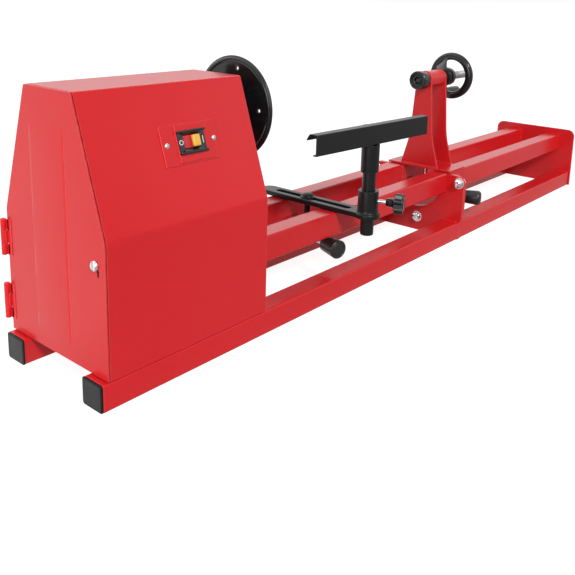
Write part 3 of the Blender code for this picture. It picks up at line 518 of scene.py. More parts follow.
def welds():
    spots = ((JOINT_X - 0.2, "head"), (JOINT_X + 2 * PLATE_T + 0.4, "joint"), (TAIL_X - 0.2, "tail"))
    shelf, inside = BED_TOP - BED_H, BED_HALF - BED_W
    for x, where in spots:
        for side, sign in (("front", -1), ("rear", 1)):
            spans = (
                ("bed", sign * (BED_HALF - 3), sign * (inside + 14), shelf, shelf, 1.5),
                ("bed_in", sign * inside, sign * inside, 90, 122, 1.4),
                ("base", sign * (BASE_HALF - 3), sign * (BASE_HALF - BASE_W + 3), BASE_H, BASE_H, 1.5),
            )
            for seam, y, to_y, z, to_z, radius in spans:
                weld(f"weld_{seam}_{side}_{where}", (x, y, z), (x, to_y, to_z), radius)


# --- headstock cover, door and switch ----------------------------------------------------------------


SLOPE = math.atan2(COVER_HALF - COVER_TOP_HALF, COVER_TOP - KINK_Z)
SLOPE_UP = Vector((0, math.sin(SLOPE), math.cos(SLOPE)))
SLOPE_OUT = Vector((0, -math.cos(SLOPE), math.sin(SLOPE)))


def on_slope():
    """Shapes for the sloping front are drawn as (x, distance up the slope, height off the sheet)."""
    turn = Matrix((Vector((1, 0, 0)), SLOPE_UP, SLOPE_OUT)).transposed().to_4x4()
    return Matrix.Translation((0, -COVER_HALF, KINK_Z)) @ turn


def cover_outline(inset, bottom):
    """The open outline of the sheet wrap, from the bottom right over the top to the bottom left."""
    side = COVER_HALF - inset
    kink = KINK_Z - inset * math.tan(SLOPE / 2)
    top = COVER_TOP - inset
    top_half = COVER_TOP_HALF - inset * math.tan(math.pi / 4 - SLOPE / 2)
    return [(side, bottom), (side, kink), (top_half, top), (-top_half, top), (-side, kink), (-side, bottom)]


def rounded_cover(inset, bottom):
    kink, ridge = 3.6, 3.0
    return soften(cover_outline(inset, bottom), (0, kink, ridge, ridge, kink, 0), 6, closed=False)


def cover():
    outer, inner = rounded_cover(0, COVER_BOTTOM), rounded_cover(SHEET, COVER_BOTTOM)
    wrap = prism("cover_wrap", outer + inner[::-1], "X", COVER_LEFT + 0.4, COVER_RIGHT)
    cut(wrap, block("switch_hole_tool", (136.0, 78.2, -10), (180.0, 104.8, 10), on_slope()))
    piece(bevel(wrap, 0.3, 2, 50), "frame", RED, "headstock_cover")
    outline = rounded_cover(SHEET + 0.05, COVER_BOTTOM)
    panel = prism("cover_end_panel", outline, "X", COVER_RIGHT - 1.8, COVER_RIGHT - 0.2)
    tools = [rod("spindle_hole_tool", "X", (0, SPINDLE_Z), 34.0, COVER_RIGHT - 10, COVER_RIGHT + 10, 72)]
    for side, sign in (("front", -1), ("rear", 1)):
        ys = sorted((sign * (BED_HALF + 0.5), sign * (BED_HALF - BED_W - 0.5)))
        low = (COVER_RIGHT - 10, ys[0], BED_TOP - BED_H - 0.5)
        tools.append(block(f"notch_tool_{side}", low, (COVER_RIGHT + 10, ys[1], BED_TOP + 0.5)))
    cut(panel, *tools)
    piece(bevel(panel, 0.4), "frame", RED)


def hinges():
    out, line = COVER_HALF + 0.1, ("Z", (HINGE_X, HINGE_Y))
    for level, z in zip(("lower", "upper"), HINGES_Z):
        leaf = block(f"hinge_{level}_leaf", (HINGE_X + 4.2, out, z - 23), (30.0, out + 1.6, z + 23))
        piece(bevel(leaf, 0.5), "frame", RED, f"hinge_leaf_{level}")
        strap = block(f"hinge_{level}_strap", (HINGE_X, out, z - 8.6), (HINGE_X + 8, out + 1.6, z + 8.6))
        piece(bevel(strap, 0.5), "frame", RED)
        barrel = turned(f"hinge_{level}_barrel", sleeve(z - 8.6, z + 8.6, 0, HINGE_R), *line, 40)
        piece(barrel, "frame", RED)
        pin = turned(f"hinge_{level}_pin", sleeve(z - 23.8, z + 23.8, 0, 1.9), *line, 32)
        piece(pin, "frame", RED, slot="zinc")
        for end, low, high in (("low", z - 23, z - 9.0), ("high", z + 9.0, z + 23)):
            knuckle = turned(f"door_barrel_{level}_{end}", sleeve(low, high, 0, HINGE_R), *line, 40)
            piece(knuckle, "door", RED)
            tab = block(f"door_tab_{level}_{end}", (DOOR_X - 1.0, 94, low), (DOOR_X + 0.4, HINGE_Y, high))
            piece(bevel(tab, 0.5), "door", RED)
        plate = block(f"door_leaf_{level}", (DOOR_X - 1.0, 90, z - 23), (DOOR_X + 0.2, 97.6, z + 23))
        piece(bevel(plate, 0.5), "door", RED)


def door_pressing():
    """A shallow raised field whose height fades out towards the top and the bottom of the door."""
    left, right, low, high, fade, steps = -31.0, 39.0, 46.0, 318.0, 34.0, 48
    flank = ((0.0, 0.0), (0.8, 0.15), (1.8, 0.6), (2.7, 0.92), (3.8, 1.0))
    edge = [(left + y, share) for y, share in flank] + [(right - y, share) for y, share in flank[::-1]]
    rings = []
    for k in range(steps + 1):
        z = low + (high - low) * k / steps
        rise = min(1.0, (z - low) / fade, (high - z) / fade)
        rise = 0.95 * rise * rise * (3 - 2 * rise) - 0.03
        ring = [(DOOR_X + 0.02 - rise * share, y, z) for y, share in edge]
        rings.append([(DOOR_X + 0.3, left, z)] + ring + [(DOOR_X + 0.3, right, z)])
    return smooth(skin("door_pressing", rings), 50)


def door():
    outline = rounded_cover(0.25, COVER_BOTTOM + 0.2)
    panel = prism("door_panel", outline, "X", DOOR_X, DOOR_X + 1.7)
    y, z = LATCH[0] - 4.9, LATCH[1] - 6.6
    cut(panel, rod("keyhole_tool", "X", (y, z), 2.9, DOOR_X - 5, DOOR_X + 5, 28),
        block("keyhole_slot_tool", (DOOR_X - 5, y - 2.0, z - 5.8), (DOOR_X + 5, y + 2.0, z)))
    piece(bevel(panel, 0.25), "door", RED, "headstock_door")
    piece(door_pressing(), "door", RED)
    # painted shade: a dark sheet behind the keyhole stands for the shadow inside the door
    dark = block("keyhole_painted_shade", (DOOR_X + 1.2, y - 5, z - 8), (DOOR_X + 2.3, y + 5, z + 5))
    piece(dark, "door", PAINTED_SHADE)


def latch():
    y, z = LATCH
    profile = [(-3.4, 0), (-3.4, 4.0), (-2.6, 5.4), (-0.9, 6.3), (-0.05, 6.3), (-0.05, 3.0)]
    profile += [(8.8, 3.0), (8.8, 0)]
    head = turned("latch_head", [(DOOR_X + x, r) for x, r in profile], "X", LATCH, 48)
    slot = block("latch_slot_tool", (DOOR_X - 5, y - 0.7, z - 7), (DOOR_X - 2.2, y + 0.7, z + 7))
    cut(head, slot)
    piece(smooth(head), "latch", ZINC, "door_latch")
    cam = bevel(block("latch_cam", (DOOR_X + 6.2, y - 15, z - 3.6), (DOOR_X + 8.2, y + 3.4, z + 3.6)), 0.5)
    piece(cam, "latch", ZINC)


def sloped(name, low, high, rounding, body, finish, *nodes):
    piece(bevel(block(name, low, high, on_slope()), rounding, 3), body, finish, *nodes)


def switch():
    place = on_slope()
    hole = [(137.0, 78.6, -10), (176.0, 104.4, 10)]
    plate = block("switch_plate_sheet", (112, 66, 0.05), (200, 115, 1.7), place)
    cut(plate, block("plate_hole_tool", *hole, place))
    piece(bevel(plate, 0.9, 3), "frame", RED, "switch_plate")
    raised = block("switch_plate_pressing", (134, 67.5, 0.6), (188.5, 113.5, 2.9), place)
    cut(raised, block("pressing_hole_tool", *hole, place))
    piece(bevel(raised, 1.3, 4), "frame", RED)
    body = block("switch_case", (135.2, 77.6, -20), (177.8, 105.4, 4.2), place)
    cut(body, block("case_well_tool", (143.4, 83.2, -8), (168.8, 100.6, 20), place))
    piece(bevel(body, 0.7), "frame", CASE_PLASTIC, "switch_body")
    for edge, low, high, brink in (("low", 77.2, 80.0, 83.1), ("high", 105.8, 103.0, 100.7)):
        ridge = [(134.8, min(low, high), 3.0), (178.2, max(low, high), 7.4)]
        sloped(f"switch_guard_{edge}", *ridge, 1.0, "frame", CASE_PLASTIC)
        section = [(high, 3.8), (high, 6.6), (brink, 4.3), (brink, 3.8)]
        piece(bevel(prism(f"switch_band_{edge}", section, "X", 141, 171, place), 0.3), "frame", CASE_PLASTIC)
    sloped("switch_well_floor", (143.4, 83.2, -9), (168.8, 100.6, -6.0), 0.2, "frame", CASE_PLASTIC)
    sloped("switch_mark_on", (173.0, 87.4, 4.1), (174.1, 96.2, 4.5), 0.15, "frame", MARK_WHITE)
    ring = sleeve(4.1, 4.5, 2.2, 3.1)
    off = turned("switch_mark_off", ring, "Z", (139.2, 91.8), 40, place, soft=0.1)
    piece(off, "frame", MARK_WHITE)
    sloped("paddle_face", (144.2, 83.8, -5.0), (168.0, 100.0, 2.8), 1.0, "rocker", PADDLE, "switch_rocker")
    sloped("key_tab", (156.5, 84.6, 2.6), (167.4, 99.2, 7.8), 1.6, "key", KEY_YELLOW, "switch_key")
    base = 1.3
    profile = [(base, 0), (base, 3.7), (base + 1.3, 3.3), (base + 2.3, 2.0), (base + 2.7, 0)]
    for spot, x in (("left", 119.5), ("right", 193.6)):
        line = ("Z", (x, 91.0), 40, place)
        # painted shade: a thin dark ring under each screw head stands for the shadow of the recess round it
        shade_ring = turned(f"switch_screw_{spot}_seat", sleeve(1.2, 1.4, 0, 4.6), *line, soft=0)
        piece(shade_ring, "frame", PAINTED_SHADE, slot="black_plastic")
        screw = turned(f"switch_screw_{spot}_head", profile, *line, soft=0.8)
        for turn in (35, 125):
            across = place @ Matrix.Translation((x, 91.0, 0)) @ Matrix.Rotation(math.radians(turn), 4, "Z")
            name = f"cross_tool_{spot}_{turn}"
            boolean(screw, "DIFFERENCE", block(name, (-2.6, -0.4, base + 1.2), (2.6, 0.4, base + 5), across))
        piece(smooth(settle(screw)), "frame", ZINC, f"switch_screw_{spot}")


def gland():
    wall = COVER_HALF
    profile = [(wall - 8, 6.3), (wall + 0.1, 6.3), (wall + 0.1, 10.0), (wall + 4.5, 10.0), (wall + 8.9, 7.4)]
    profile += [(wall + 8.9, 4.2), (wall - 8, 4.2)]
    piece(turned("gland_nut", profile, "Y", GLAND, 48), "frame", BLACK_PLASTIC, "cable_gland")


# --- drive -------------------------------------------------------------------------------------------


def bracket():
    top = BED_TOP + GAP
    base = bevel(block("bracket_base", (98, -66, top), (256, 66, top + 6)), 0.8)
    piece(base, "frame", RED, "bearing_bracket")
    outline = [(-60, top + 5), (60, top + 5), (60, 160), (33, 318), (20, 330)]
    outline += [(-20, 330), (-33, 318), (-60, 160)]
    for i, x in enumerate(BEARINGS_X):
        wall = prism(f"bracket_wall_{i}", soften(outline, 4, 4), "X", x - 4, x + 4)
        cut(wall, rod(f"wall_bore_tool_{i}", "X", (0, SPINDLE_Z), 24.0, x - 20, x + 20, 64),
            rod(f"wall_port_tool_{i}", "X", (0, MOTOR_Z), 18.0, x - 20, x + 20, 48))
        piece(bevel(wall, 0.7), "frame", RED)
        piece(turned(f"bracket_hub_{i}", sleeve(x - 9, x + 9, 23.7, 31)), "frame", RED)


def bearings():
    for name, x in zip(("spindle_bearing_rear", "spindle_bearing_front"), BEARINGS_X):
        for race, low, high in (("inner", 12.6, 16.0), ("outer", 20.4, 23.6)):
            made = turned(f"{name}_{race}_race", sleeve(x - 7, x + 7, low, high), soft=0.7)
            piece(made, "frame", STEEL, name)
        seal = turned(f"{name}_seal", sleeve(x - 6.2, x + 6.2, 15.8, 20.6))
        piece(seal, "frame", RUBBER, slot="steel")


def spindle():
    profile = [(28, 0), (28, 7.0), (29, 8.0), (34, 8.0), (34, 10.0), (102, 10.0), (102, 12.5), (262, 12.5)]
    profile += [(262, 16.5), (282, 16.5), (282, 13.0), (284, 12.4), (321, 12.4), (322, 11.4), (322, 7.2)]
    profile += [(276, 5.6), (276, 0)]
    piece(turned("spindle_bar", profile), "spindle_group", STEEL, "spindle")


FACE_X = 302.2
FACE_HOLES = ((55.6, 97.4), (48.8, 179.5), (55.6, 277.4), (48.8, 359.5))


def faceplate():
    web = FACE_X - 2.8
    profile = [(288, 12.8), (288, 22.0), (295.5, 23.0), (web, 27.0), (web, 64.0), (web - 1.2, 65.2)]
    profile += [(web - 1.8, 66.6), (web - 1.8, 68.2), (web - 1.1, 69.4), (web, 70.4), (web + 0.2, 72.2)]
    profile += [(FACE_X, 72.2), (FACE_X, 12.8)]
    made = turned("faceplate_disc", profile, count=160, soft=0.6)
    tools = []
    for i, (radius, turn) in enumerate(FACE_HOLES):
        angle = math.radians(turn)
        centre = (radius * math.cos(angle), SPINDLE_Z + radius * math.sin(angle))
        tools.append(rod(f"faceplate_tool_{i}", "X", centre, 2.7, web - 20, web + 20, 24))
        sink = [(web - 2, 5.6), (web - 0.2, 4.1), (web + 1.1, 2.6), (web + 1.1, 0), (web - 2, 0)]
        tools.append(turned(f"faceplate_sink_{i}", sink, "X", centre, 24, soft=0))
    cut(made, *tools)
    piece(smooth(made, 40), "spindle_group", GLOSS_BLACK, "faceplate")


def pulley(name, steps, axis_z, bore, body):
    profile = [(PULLEY_X, bore)]
    for i, radius in enumerate(steps):
        middle = PULLEY_X + (i + 0.5) * STEP_W
        profile += [(middle - STEP_W / 2, radius), (middle - 5.0, radius), (middle - 3.2, radius - 6.0)]
        profile += [(middle + 3.2, radius - 6.0), (middle + 5.0, radius), (middle + STEP_W / 2 - 0.2, radius)]
    profile.append((PULLEY_X + len(steps) * STEP_W, bore))
    made = turned(f"{name}_casting", profile, "X", (0, axis_z), 96, soft=0.7)
    piece(made, body, ALUMINIUM, name)
    edge = PULLEY_X - 0.4
    boss = [(edge, bore), (edge, bore + 8), (edge + 5, bore + 9), (edge + 5, bore)]
    piece(turned(f"{name}_boss", boss, "X", (0, axis_z)), body, ALUMINIUM)


def belt():
    x = PULLEY_X + STEP_W / 2
    big, small = SPINDLE_STEPS[0] - 5.4, MOTOR_STEPS[0] - 5.4
    lean = math.asin((big - small) / (SPINDLE_Z - MOTOR_Z))
    path = []
    for z, radius, start, sweep, steps in (
        (SPINDLE_Z, big, -lean, math.pi + 2 * lean, 48),
        (MOTOR_Z, small, math.pi + lean, math.pi - 2 * lean, 24),
    ):
        path += [(z, radius, start + sweep * i / steps) for i in range(steps + 1)]
    section = soften(((-3.0, 0.0), (3.0, 0.0), (4.4, 4.8), (-4.4, 4.8)), 0.8, 2)
    rings = []
    for z, radius, angle in path:
        across, up = math.cos(angle), math.sin(angle)
        rings.append([(x + side, (radius + out) * across, z + (radius + out) * up) for side, out in section])
    piece(smooth(skin("belt_loop", rings, loop=True), 40), "frame", RUBBER, "drive_belt")


def motor():
    centre = (0, MOTOR_Z)
    profile = [(119, 0), (119, 34), (124, 43), (130, 46), (132, 50)]
    profile += [(208, 50), (210, 46), (218, 43), (223, 34), (223, 0)]
    shell = turned("motor_shell", profile, "X", centre, 96, soft=2.0)
    cut(shell, rod("motor_bore_tool", "X", centre, 8.0, 100, 150, 48))
    piece(smooth(shell), "frame", MOTOR_PAINT, "motor_body")
    for i in range(9):
        x = 136 + 8.2 * i
        fin = turned(f"motor_fin_{i}", sleeve(x, x + 2.2, 49.5, 51.8), "X", centre, 96)
        piece(fin, "frame", MOTOR_PAINT)
    can = [(145, 0), (145, 14), (147, 16), (198, 16), (200, 14), (200, 0)]
    piece(turned("motor_can", can, "X", (-50.0, 163.0), 56), "frame", BLACK_PLASTIC)
    low = BED_TOP + 6 + 2 * GAP
    for i, sign in enumerate((-1, 1)):
        ys = sorted((sign * 22, sign * 46))
        foot = bevel(block(f"motor_foot_{i}", (140, ys[0], low), (200, ys[1], MOTOR_Z - 30)), 1.0)
        piece(foot, "frame", MOTOR_PAINT)
    shaft = [(30, 0), (30, 6.2), (31, 7.0), (148, 7.0), (148, 0)]
    piece(turned("motor_spindle", shaft, "X", centre, 48), "motor_rotor", STEEL, "motor_shaft")


# --- tool rest ---------------------------------------------------------------------------------------


def clamp_plate(name, x, body):
    shelf = BED_TOP - BED_H - GAP
    plate = prism(f"{name}_bar", soften(rectangle((x - 18, -44), (x + 18, 44)), 6, 5), "Z", shelf - 7, shelf)
    piece(bevel(plate, 0.8), body, ZINC, name)
    guide = bevel(block(f"{name}_guide", (x - 15, -31, shelf - 1), (x + 15, 31, shelf + 8)), 0.8)
    piece(guide, body, ZINC)


def rest_clamp():
    top = BED_TOP + GAP + 8.0 + 0.1
    profile = [(58, 0), (58, 5.0), (top, 5.0), (top, 12.0), (top + 1.8, 12.0), (top + 2.0, 9.8)]
    profile += [(top + 4.2, 9.2), (top + 6.4, 7.0), (top + 7.6, 3.4), (top + 7.8, 0)]
    piece(turned("rest_bolt_steel", profile, "Z", (ARM_X, 0), 56), "rest_bolt", DARK, "rest_clamp_bolt")
    clamp_plate("rest_clamp_plate", ARM_X, "rest_clamp")


def rest_arm():
    low, high = BED_TOP + GAP, BED_TOP + GAP + 8.0
    end = arc((ARM_X, ARM_END), ARM_HALF, 0, 180, 24)
    outline = [(ARM_X + ARM_HALF, POST_Y)] + end + [(ARM_X - ARM_HALF, POST_Y)]
    made = prism("arm_casting", outline, "Z", low, high)
    near, far = ARM_SLOT
    slot = arc((ARM_X, far), SLOT_HALF, 0, 180, 14) + arc((ARM_X, near), SLOT_HALF, 180, 180, 14)
    cut(made, prism("arm_slot_tool", slot, "Z", low - 10, high + 10))
    cut(made, rod("arm_bore_tool", "Z", (ARM_X, POST_Y), 10.6, low - 10, 190, 48))
    piece(bevel(made, 2.4, 4), "arm", DARK, "rest_arm")
    profile = [(low - 0.2, 10.5), (low - 0.2, 18.2), (low + 1.4, 19.0), (high - 1.6, 19.0)]
    profile += [(high - 0.2, 18.0), (high + 1.2, 16.4), (high + 4.0, 15.7)]
    profile += [(SOCKET_TOP, 15.7), (SOCKET_TOP, 10.5)]
    socket = turned("arm_socket", profile, "Z", (ARM_X, POST_Y), 72, soft=0.9)
    hole = aimed((ARM_X, POST_Y, KNOB_Z), heading(KNOB_ANGLE))
    cut(socket, rod("socket_hole_tool", "X", (0, 0), 3.3, 5, 30, 24, place=hole))
    piece(smooth(socket), "arm", DARK)


def rest_post():
    profile = [(99, 0), (99, 9.2), (100.2, 10.2), (236, 10.2), (237, 0)]
    piece(turned("post_bar", profile, "Z", (ARM_X, POST_Y), 56), "post", DARK, "rest_post")


def rest_bar():
    fold = [(0, 241.2), (0, 271.4), (14.2, 271.4), (20.2, 262.4), (18.5, 261.3), (13.1, 269.4), (2, 269.4)]
    fold += [(2, 243.2), (7, 243.2), (7, 241.2)]
    left = Vector((341.1, -119.0, 0.0))
    place = Matrix.Translation(left) @ Matrix.Rotation(REST_YAW, 4, "Z")
    bar = prism("rest_sheet", soften(fold, 1.3, 4), "X", 0, REST_LEN, place)
    piece(bevel(bar, 0.25, 2, 60), "tool_rest", DARK, "rest_bar")
    reach = (Vector((ARM_X, POST_Y, 0)) - left).dot(Vector(heading(REST_YAW)))
    profile = [(198.9, 10.6), (198.9, 13.0), (199.9, 13.8), (269.0, 13.8), (269.0, 10.6)]
    collar = turned("rest_collar", profile, "Z", (ARM_X, POST_Y), 64)
    front = block("collar_front_tool", (reach - 30, -20, 240.0), (reach + 30, 1.0, 300), place)
    screw = rod("collar_screw_tool", "X", (POST_Y, COLLAR_SCREW_Z), 2.9, ARM_X + 5, ARM_X + 30, 24)
    cut(collar, front, screw)
    piece(smooth(collar), "tool_rest", DARK)
    lip = [(197.7, 10.9), (197.7, 13.2), (199.2, 13.4), (199.2, 10.9)]
    piece(turned("rest_collar_lip", lip, "Z", (ARM_X, POST_Y)), "tool_rest", DARK)


def collar_screw():
    x = ARM_X
    profile = [(x + 10.8, 0), (x + 10.8, 2.5), (x + 14.2, 2.5), (x + 14.2, 4.1), (x + 19.6, 4.1)]
    profile += [(x + 21.0, 2.8), (x + 21.0, 0)]
    made = turned("collar_screw_head", profile, "X", (POST_Y, COLLAR_SCREW_Z), 40)
    cut(made, rod("collar_socket_tool", "X", (POST_Y, COLLAR_SCREW_Z), 1.8, x + 17.5, x + 30, 6))
    piece(smooth(made), "collar_grub", ZINC, "collar_screw")


def post_knob():
    place = aimed((ARM_X, POST_Y, KNOB_Z), heading(KNOB_ANGLE))
    screw = turned("knob_screw", sleeve(10.8, 31, 0, 2.6), "X", (0, 0), 40, place)
    piece(screw, "knob", ZINC, "post_knob")
    piece(thread("knob_thread", 11.5, 27.0, 3.0, 0.5, 1.25, 24, place), "knob", ZINC)
    neck = [(28.4, 0), (28.4, 6.2), (37.0, 7.2), (40.0, 9.2), (42.4, 11.0), (42.4, 0)]
    piece(turned("knob_neck", neck, "X", (0, 0), 56, place, soft=1.2), "knob", CASE_PLASTIC)
    lobes = []
    for i in range(140):
        angle = 2 * math.pi * i / 140
        reach = 13.5 + 2.6 * math.cos(7 * angle)
        lobes.append((reach * math.cos(angle), reach * math.sin(angle)))
    head = bevel(prism("knob_star", lobes, "X", 41.4, 54.6, place), 1.8, 4, 60)
    piece(head, "knob", CASE_PLASTIC)
    face = [(54.2, 0), (54.2, 8.6), (55.0, 8.6), (55.6, 7.8), (55.6, 0)]
    piece(turned("knob_face", face, "X", (0, 0), 56, place), "knob", CASE_PLASTIC)


def lever(name, grip_name, body, bolt_x, angle, start, end, radius, root, round_end):
    place = aimed((bolt_x, 0, LEVER_Z), heading(angle))
    hub = [(60, 5.4), (60, 11.5), (72, 11.5), (74, 13.5), (79, 13.5), (79, 5.4)]
    piece(turned(f"{name}_hub", hub, "Z", (bolt_x, 0), 56), body, ZINC, name)
    piece(turned(f"{name}_shaft", sleeve(9, end - 8, 0, 4.0), "X", (0, 0), 40, place), body, ZINC)
    profile = [(start, 0), (start, root - 1.2), (start + 1.6, root), (end - round_end, radius)]
    if round_end > 4:
        for k in range(1, 7):
            turn = math.radians(90 * k / 7)
            back, down = round_end * (1 - math.sin(turn)), round_end * (1 - math.cos(turn))
            profile.append((end - back, radius - 0.9 * down))
        profile.append((end, 0))
        soft, angle = 0.8, 60
    else:
        profile += [(end, radius - 1.4), (end, radius - 3.4), (end - 0.9, radius - 4.0)]
        profile += [(end - 0.9, radius - 5.0), (end - 0.2, radius - 5.6), (end - 0.2, 0)]
        soft, angle = 0.7, 40
    grip = turned(f"{grip_name}_moulding", profile, "X", (0, 0), 72, place, soft, angle)
    piece(grip, body, GRIP, grip_name)


# --- tailstock ---------------------------------------------------------------------------------------


def cheek_outline():
    half = [(41.5, 130.0), (38.3, 141.0), (34.6, 154.0), (31.0, 166.0), (28.0, 177.0), (25.8, 187.0)]
    half += [(24.4, 198.0), (23.2, 212.0), (16.8, 296.0)]
    crown = arc((0, SPINDLE_Z), 16.5, -6, 192, 30)[1:-1]
    return soften(half + crown + [(-y, z) for y, z in reversed(half)], 5.0, closed=False)


def tail_body():
    low = BED_TOP + GAP
    base = prism("tail_base_plate", soften(rectangle((820, -70), (884, 70)), 3, 4), "Z", low, low + 3.8)
    piece(bevel(base, 0.8), "tailstock", RED, "tail_base")
    for side, x in (("left", CHEEK_X), ("right", CHEEK_RIGHT)):
        cheek = prism(f"tail_cheek_{side}_steel", cheek_outline(), "X", x, x + 4.0)
        cut(cheek, rod(f"cheek_tool_{side}", "X", (0, SPINDLE_Z), SCREW_R + 0.4, x - 10, x + 10, 48))
        piece(bevel(cheek, 0.8), "tailstock", RED, f"tail_cheek_{side}")
        weld(f"weld_cheek_{side}", (x + 2, -38, 130.3), (x + 2, 38, 130.3), 3.0, "tailstock")
    outer, inner = circle((0, SPINDLE_Z), 16.3, 72), circle((0, SPINDLE_Z), SCREW_R + 0.4, 72)
    barrel = pipe("tail_barrel_tube", outer, inner, "X", CHEEK_X + 3.8, CHEEK_RIGHT + 0.2)
    piece(smooth(barrel), "tailstock", RED, "tail_barrel")
    for side, x in (("left", CHEEK_X + 4.2), ("right", CHEEK_RIGHT - 0.2)):
        bead = turned(f"weld_barrel_{side}", sleeve(x - 1.3, x + 1.3, 15.6, 17.2), soft=1.0)
        piece(bead, "tailstock", RED)


def tail_clamp():
    top = BED_TOP + GAP + 3.8 + 0.1
    stud = [(58, 0), (58, 5.0), (top + 12, 5.0), (top + 13, 4.0), (top + 13, 0)]
    piece(turned("tail_stud", stud, "Z", (TAIL_BOLT_X, 0), 48), "tailstock", ZINC, "tail_clamp_bolt")
    washer = turned("tail_washer", sleeve(top, top + 1.8, 5.2, 11.0), "Z", (TAIL_BOLT_X, 0), 56)
    piece(washer, "tailstock", ZINC)
    nut = bevel(rod("tail_nut", "Z", (TAIL_BOLT_X, 0), 9.6, top + 1.8, top + 9.6, 6), 0.6)
    piece(nut, "tailstock", ZINC)
    clamp_plate("tail_clamp_plate", TAIL_BOLT_X, "tailstock")


def tail_screw():
    core = SCREW_R - 0.9
    profile = [(807, 0), (807, 5.0), (819.6, 5.0), (819.6, core), (997.5, core)]
    profile += [(999.6, core - 1.5), (999.6, 0)]
    piece(turned("feed_screw_core", profile, count=48), "feed_screw", STEEL, "tail_screw")
    ridge = thread("feed_screw_thread", 820.0, 1000.0, SCREW_R, 1.0, 4.0, 40, centre=(0, SPINDLE_Z))
    piece(ridge, "feed_screw", STEEL)


def live_centre():
    shell = [(797.0, 13.9), (796.0, 14.6), (796.0, 16.6), (797.4, 17.8), (811.5, 17.8), (813.5, 16.4)]
    shell += [(819.2, 16.2), (819.2, 6.0), (801.0, 6.0), (801.0, 13.0)]
    piece(turned("centre_shell", shell, count=96), "centre", GLOSS_BLACK, "live_centre")
    cup = [(801.5, 5.6), (796.9, 7.0), (796.9, 8.6), (799.6, 9.4), (799.6, 11.6), (797.8, 12.4)]
    cup += [(797.8, 13.9), (803.0, 13.9), (803.0, 5.6)]
    piece(turned("centre_cup", cup, count=96), "centre", GLOSS_BLACK)
    point = [(794.2, 0), (800.0, 4.2), (806.0, 4.6), (806.0, 0)]
    piece(turned("centre_point", point, count=48, soft=0.2), "centre", GLOSS_BLACK)


def squarish(radius, turn, power):
    """One coordinate of a rounded square: a cosine or a sine, pushed outwards by a power below 1."""
    return radius * math.copysign(abs(turn) ** power, turn)


def spoke(name, angle, stations, thickness):
    """A spoke of the dished wheel. Its stations list (radius, distance from the rim's plane, half width)."""
    place = Matrix.Translation((WHEEL_X, 0, SPINDLE_Z)) @ Matrix.Rotation(angle, 4, "X")
    rings = []
    for radius, depth, half in stations:
        ring = [(squarish(thickness, a, 0.7) + depth, radius, squarish(half, b, 0.7))
                for a, b in circle((0, 0), 1, 20)]
        rings.append(ring)
    return smooth(skin(name, rings, place), 50)


def handwheel():
    centre = (0, SPINDLE_Z)
    unit = circle((0, 0), 1, 36)
    rim = [(WHEEL_X + squarish(6.9, a, 0.8), 39.65 + squarish(7.65, b, 0.8)) for a, b in unit]
    piece(turned("wheel_rim", rim, count=128, soft=0, angle=60), "wheel", GLOSS_BLACK, "handwheel")
    flare = [(11, -21.0, 9.6), (16, -18.8, 10.6), (21, -15.8, 12.0), (25, -12.4, 13.4), (29, -8.6, 15.5)]
    flare += [(32, -5.6, 18.0), (34.5, -3.0, 21.0), (37, -1.0, 24.5)]
    for spot, angle in (("upper", 50.0), ("lower", -60.0)):
        piece(spoke(f"wheel_spoke_{spot}", math.radians(angle), flare, 3.8), "wheel", GLOSS_BLACK)
    hub = [(884, 8.3), (884, 14.5), (886, 15.5), (898, 15.5), (900, 18.2), (917, 18.2), (918, 17.4)]
    piece(turned("wheel_hub", hub + [(918, 8.3)]), "wheel", GLOSS_BLACK)
    nut = rod("wheel_hex", "X", centre, 17.2, 916, 922, 6)
    cut(nut, rod("hex_tool", "X", centre, SCREW_R + 0.4, 900, 960, 48))
    piece(bevel(nut, 1.2, 3), "wheel", GLOSS_BLACK)


def crank_grip():
    centre = (CRANK[0], SPINDLE_Z + CRANK[1])
    profile = [(926.5, 0), (926.5, 2.7), (939.0, 2.7), (939.0, 5.4), (941.0, 6.2), (955, 6.7), (970, 7.0)]
    profile += [(988, 6.6), (994, 6.0), (997.6, 4.6), (999.4, 2.4), (1000, 0)]
    handle = turned("crank_handle", profile, "X", centre, 48, soft=1.0, angle=50)
    piece(handle, "crank", GRIP, "crank_grip")


# --- stage -------------------------------------------------------------------------------------------


def stage():
    mesh = bpy.data.meshes.new("floor")
    mesh.from_pydata([(x, y, 0) for x, y in rectangle((-30, -30), (30, 30))], [], [(0, 1, 2, 3)])
    floor = placed("floor", mesh)
    floor.location = (0, 0, -0.0005)
    g = Graph(bpy.data.materials.new("studio floor"))
    rays = g.node("LightPath").outputs
    way = g.node("SeparateXYZ", Vector=g.places["Object"]).outputs
    mirrored = g.mapped(way["Y"], (-0.1, 0.15), (0.2, 0.95))
    glow = g.mapped(rays["Is Glossy Ray"], (0, 1), (0.2, mirrored))
    g.surface(
        Base_Color=g.ramp(g.noise(2.0), 0.3, 0.32),
        Roughness=0.8,
        Specular_IOR_Level=0.1,
        Emission_Color=(1, 1, 1, 1),
        Emission_Strength=g.mapped(rays["Is Camera Ray"], (0, 1), (glow, 0.9)),
    )
    mesh.materials.append(g.owner)


def area_light(name, place, target, size, power):
    lamp = bpy.data.lights.new(name, "AREA")
    lamp.shape = "RECTANGLE"
    lamp.size, lamp.size_y = size
    lamp.energy = power
    made = placed(name, lamp)
    made.location = place
    made.visible_camera = False
    made.rotation_euler = (Vector(target) - Vector(place)).to_track_quat("-Z", "Y").to_euler()


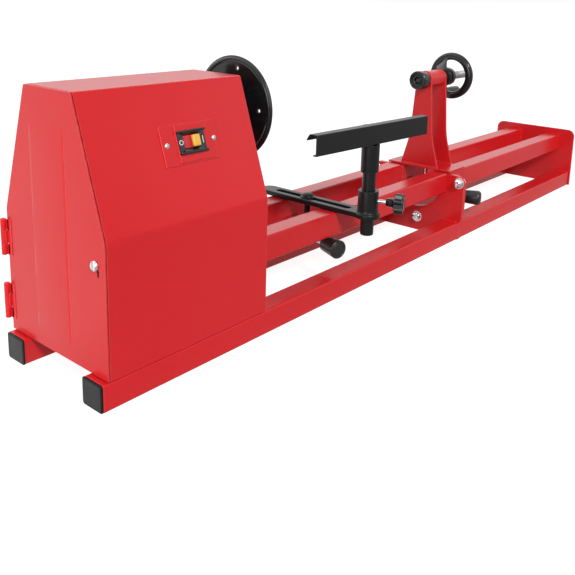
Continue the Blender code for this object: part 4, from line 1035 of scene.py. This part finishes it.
def lights():
    """A bright even studio. The backdrop is white, and what is mirrored is white behind and grey in front."""
    world = bpy.data.worlds.new("studio")
    g = Graph(world)
    rays = g.node("LightPath").outputs
    way = g.node("SeparateXYZ", Vector=g.places["Generated"]).outputs
    behind = g.mapped(way["Z"], (0.1, 0.3), (0.5, 1.8))
    ahead = g.mapped(way["Z"], (0.1, 0.3), (0.4, 0.85))
    mirrored = g.mapped(way["Y"], (-0.3, 0.5), (ahead, behind))
    lit = g.mapped(rays["Is Diffuse Ray"], (0, 1), (mirrored, 0.3))
    strength = g.mapped(rays["Is Camera Ray"], (0, 1), (lit, 1.0))
    g.feed(g.nodes["Background"].inputs, {"Color": (1, 1, 1, 1), "Strength": strength})
    bpy.context.scene.world = world
    bpy.context.scene.view_settings.view_transform = "Standard"
    sun = bpy.data.lights.new("key", "SUN")
    sun.energy, sun.angle = 2.02, math.radians(9)
    placed("key", sun).rotation_euler = Vector((-0.34, -0.7, 0.61)).to_track_quat("Z", "Y").to_euler()
    area_light("left", (-3.15, -0.4, 0.75), (-0.6, 0, 0.2), (1.4, 1.2), 32)
    area_light("front_right", (2.6, -2.2, 1.0), (-0.2, 0, 0.2), (2.4, 1.6), 6)


def camera():
    lens = bpy.data.cameras.new("camera")
    lens.sensor_width = 36.0
    lens.lens = 46.09
    lens.shift_x, lens.shift_y = -0.0204, -0.2354
    lens.clip_start, lens.clip_end = 0.05, 100
    made = placed("camera", lens)
    made.location = (Vector((-428.9, -722.2, 462.6)) - ORIGIN) / 1000
    made.rotation_euler = [math.radians(a) for a in (77.6065, -1.5519, -50.1861)]
    bpy.context.scene.camera = made


rails()
joint()
tail_plate()
end_caps()
bulkhead()
welds()
cover()
hinges()
door()
latch()
switch()
gland()
bracket()
bearings()
spindle()
faceplate()
pulley("spindle_pulley", SPINDLE_STEPS, SPINDLE_Z, 9.8, "spindle_group")
pulley("motor_pulley", MOTOR_STEPS, MOTOR_Z, 6.8, "motor_rotor")
belt()
motor()
rest_clamp()
rest_arm()
rest_post()
rest_bar()
collar_screw()
post_knob()
lever("rest_lever", "rest_lever_grip", "rest_handle", ARM_X, REST_LEVER_ANGLE, 49, 85, 15.0, 11.8, 1.6)
tail_body()
tail_clamp()
lever("tail_lever", "tail_lever_grip", "tail_handle", TAIL_BOLT_X, TAIL_LEVER_ANGLE, 59, 113, 14.3, 11.4, 7.0)
tail_screw()
live_centre()
handwheel()
crank_grip()
stage()
lights()
camera()
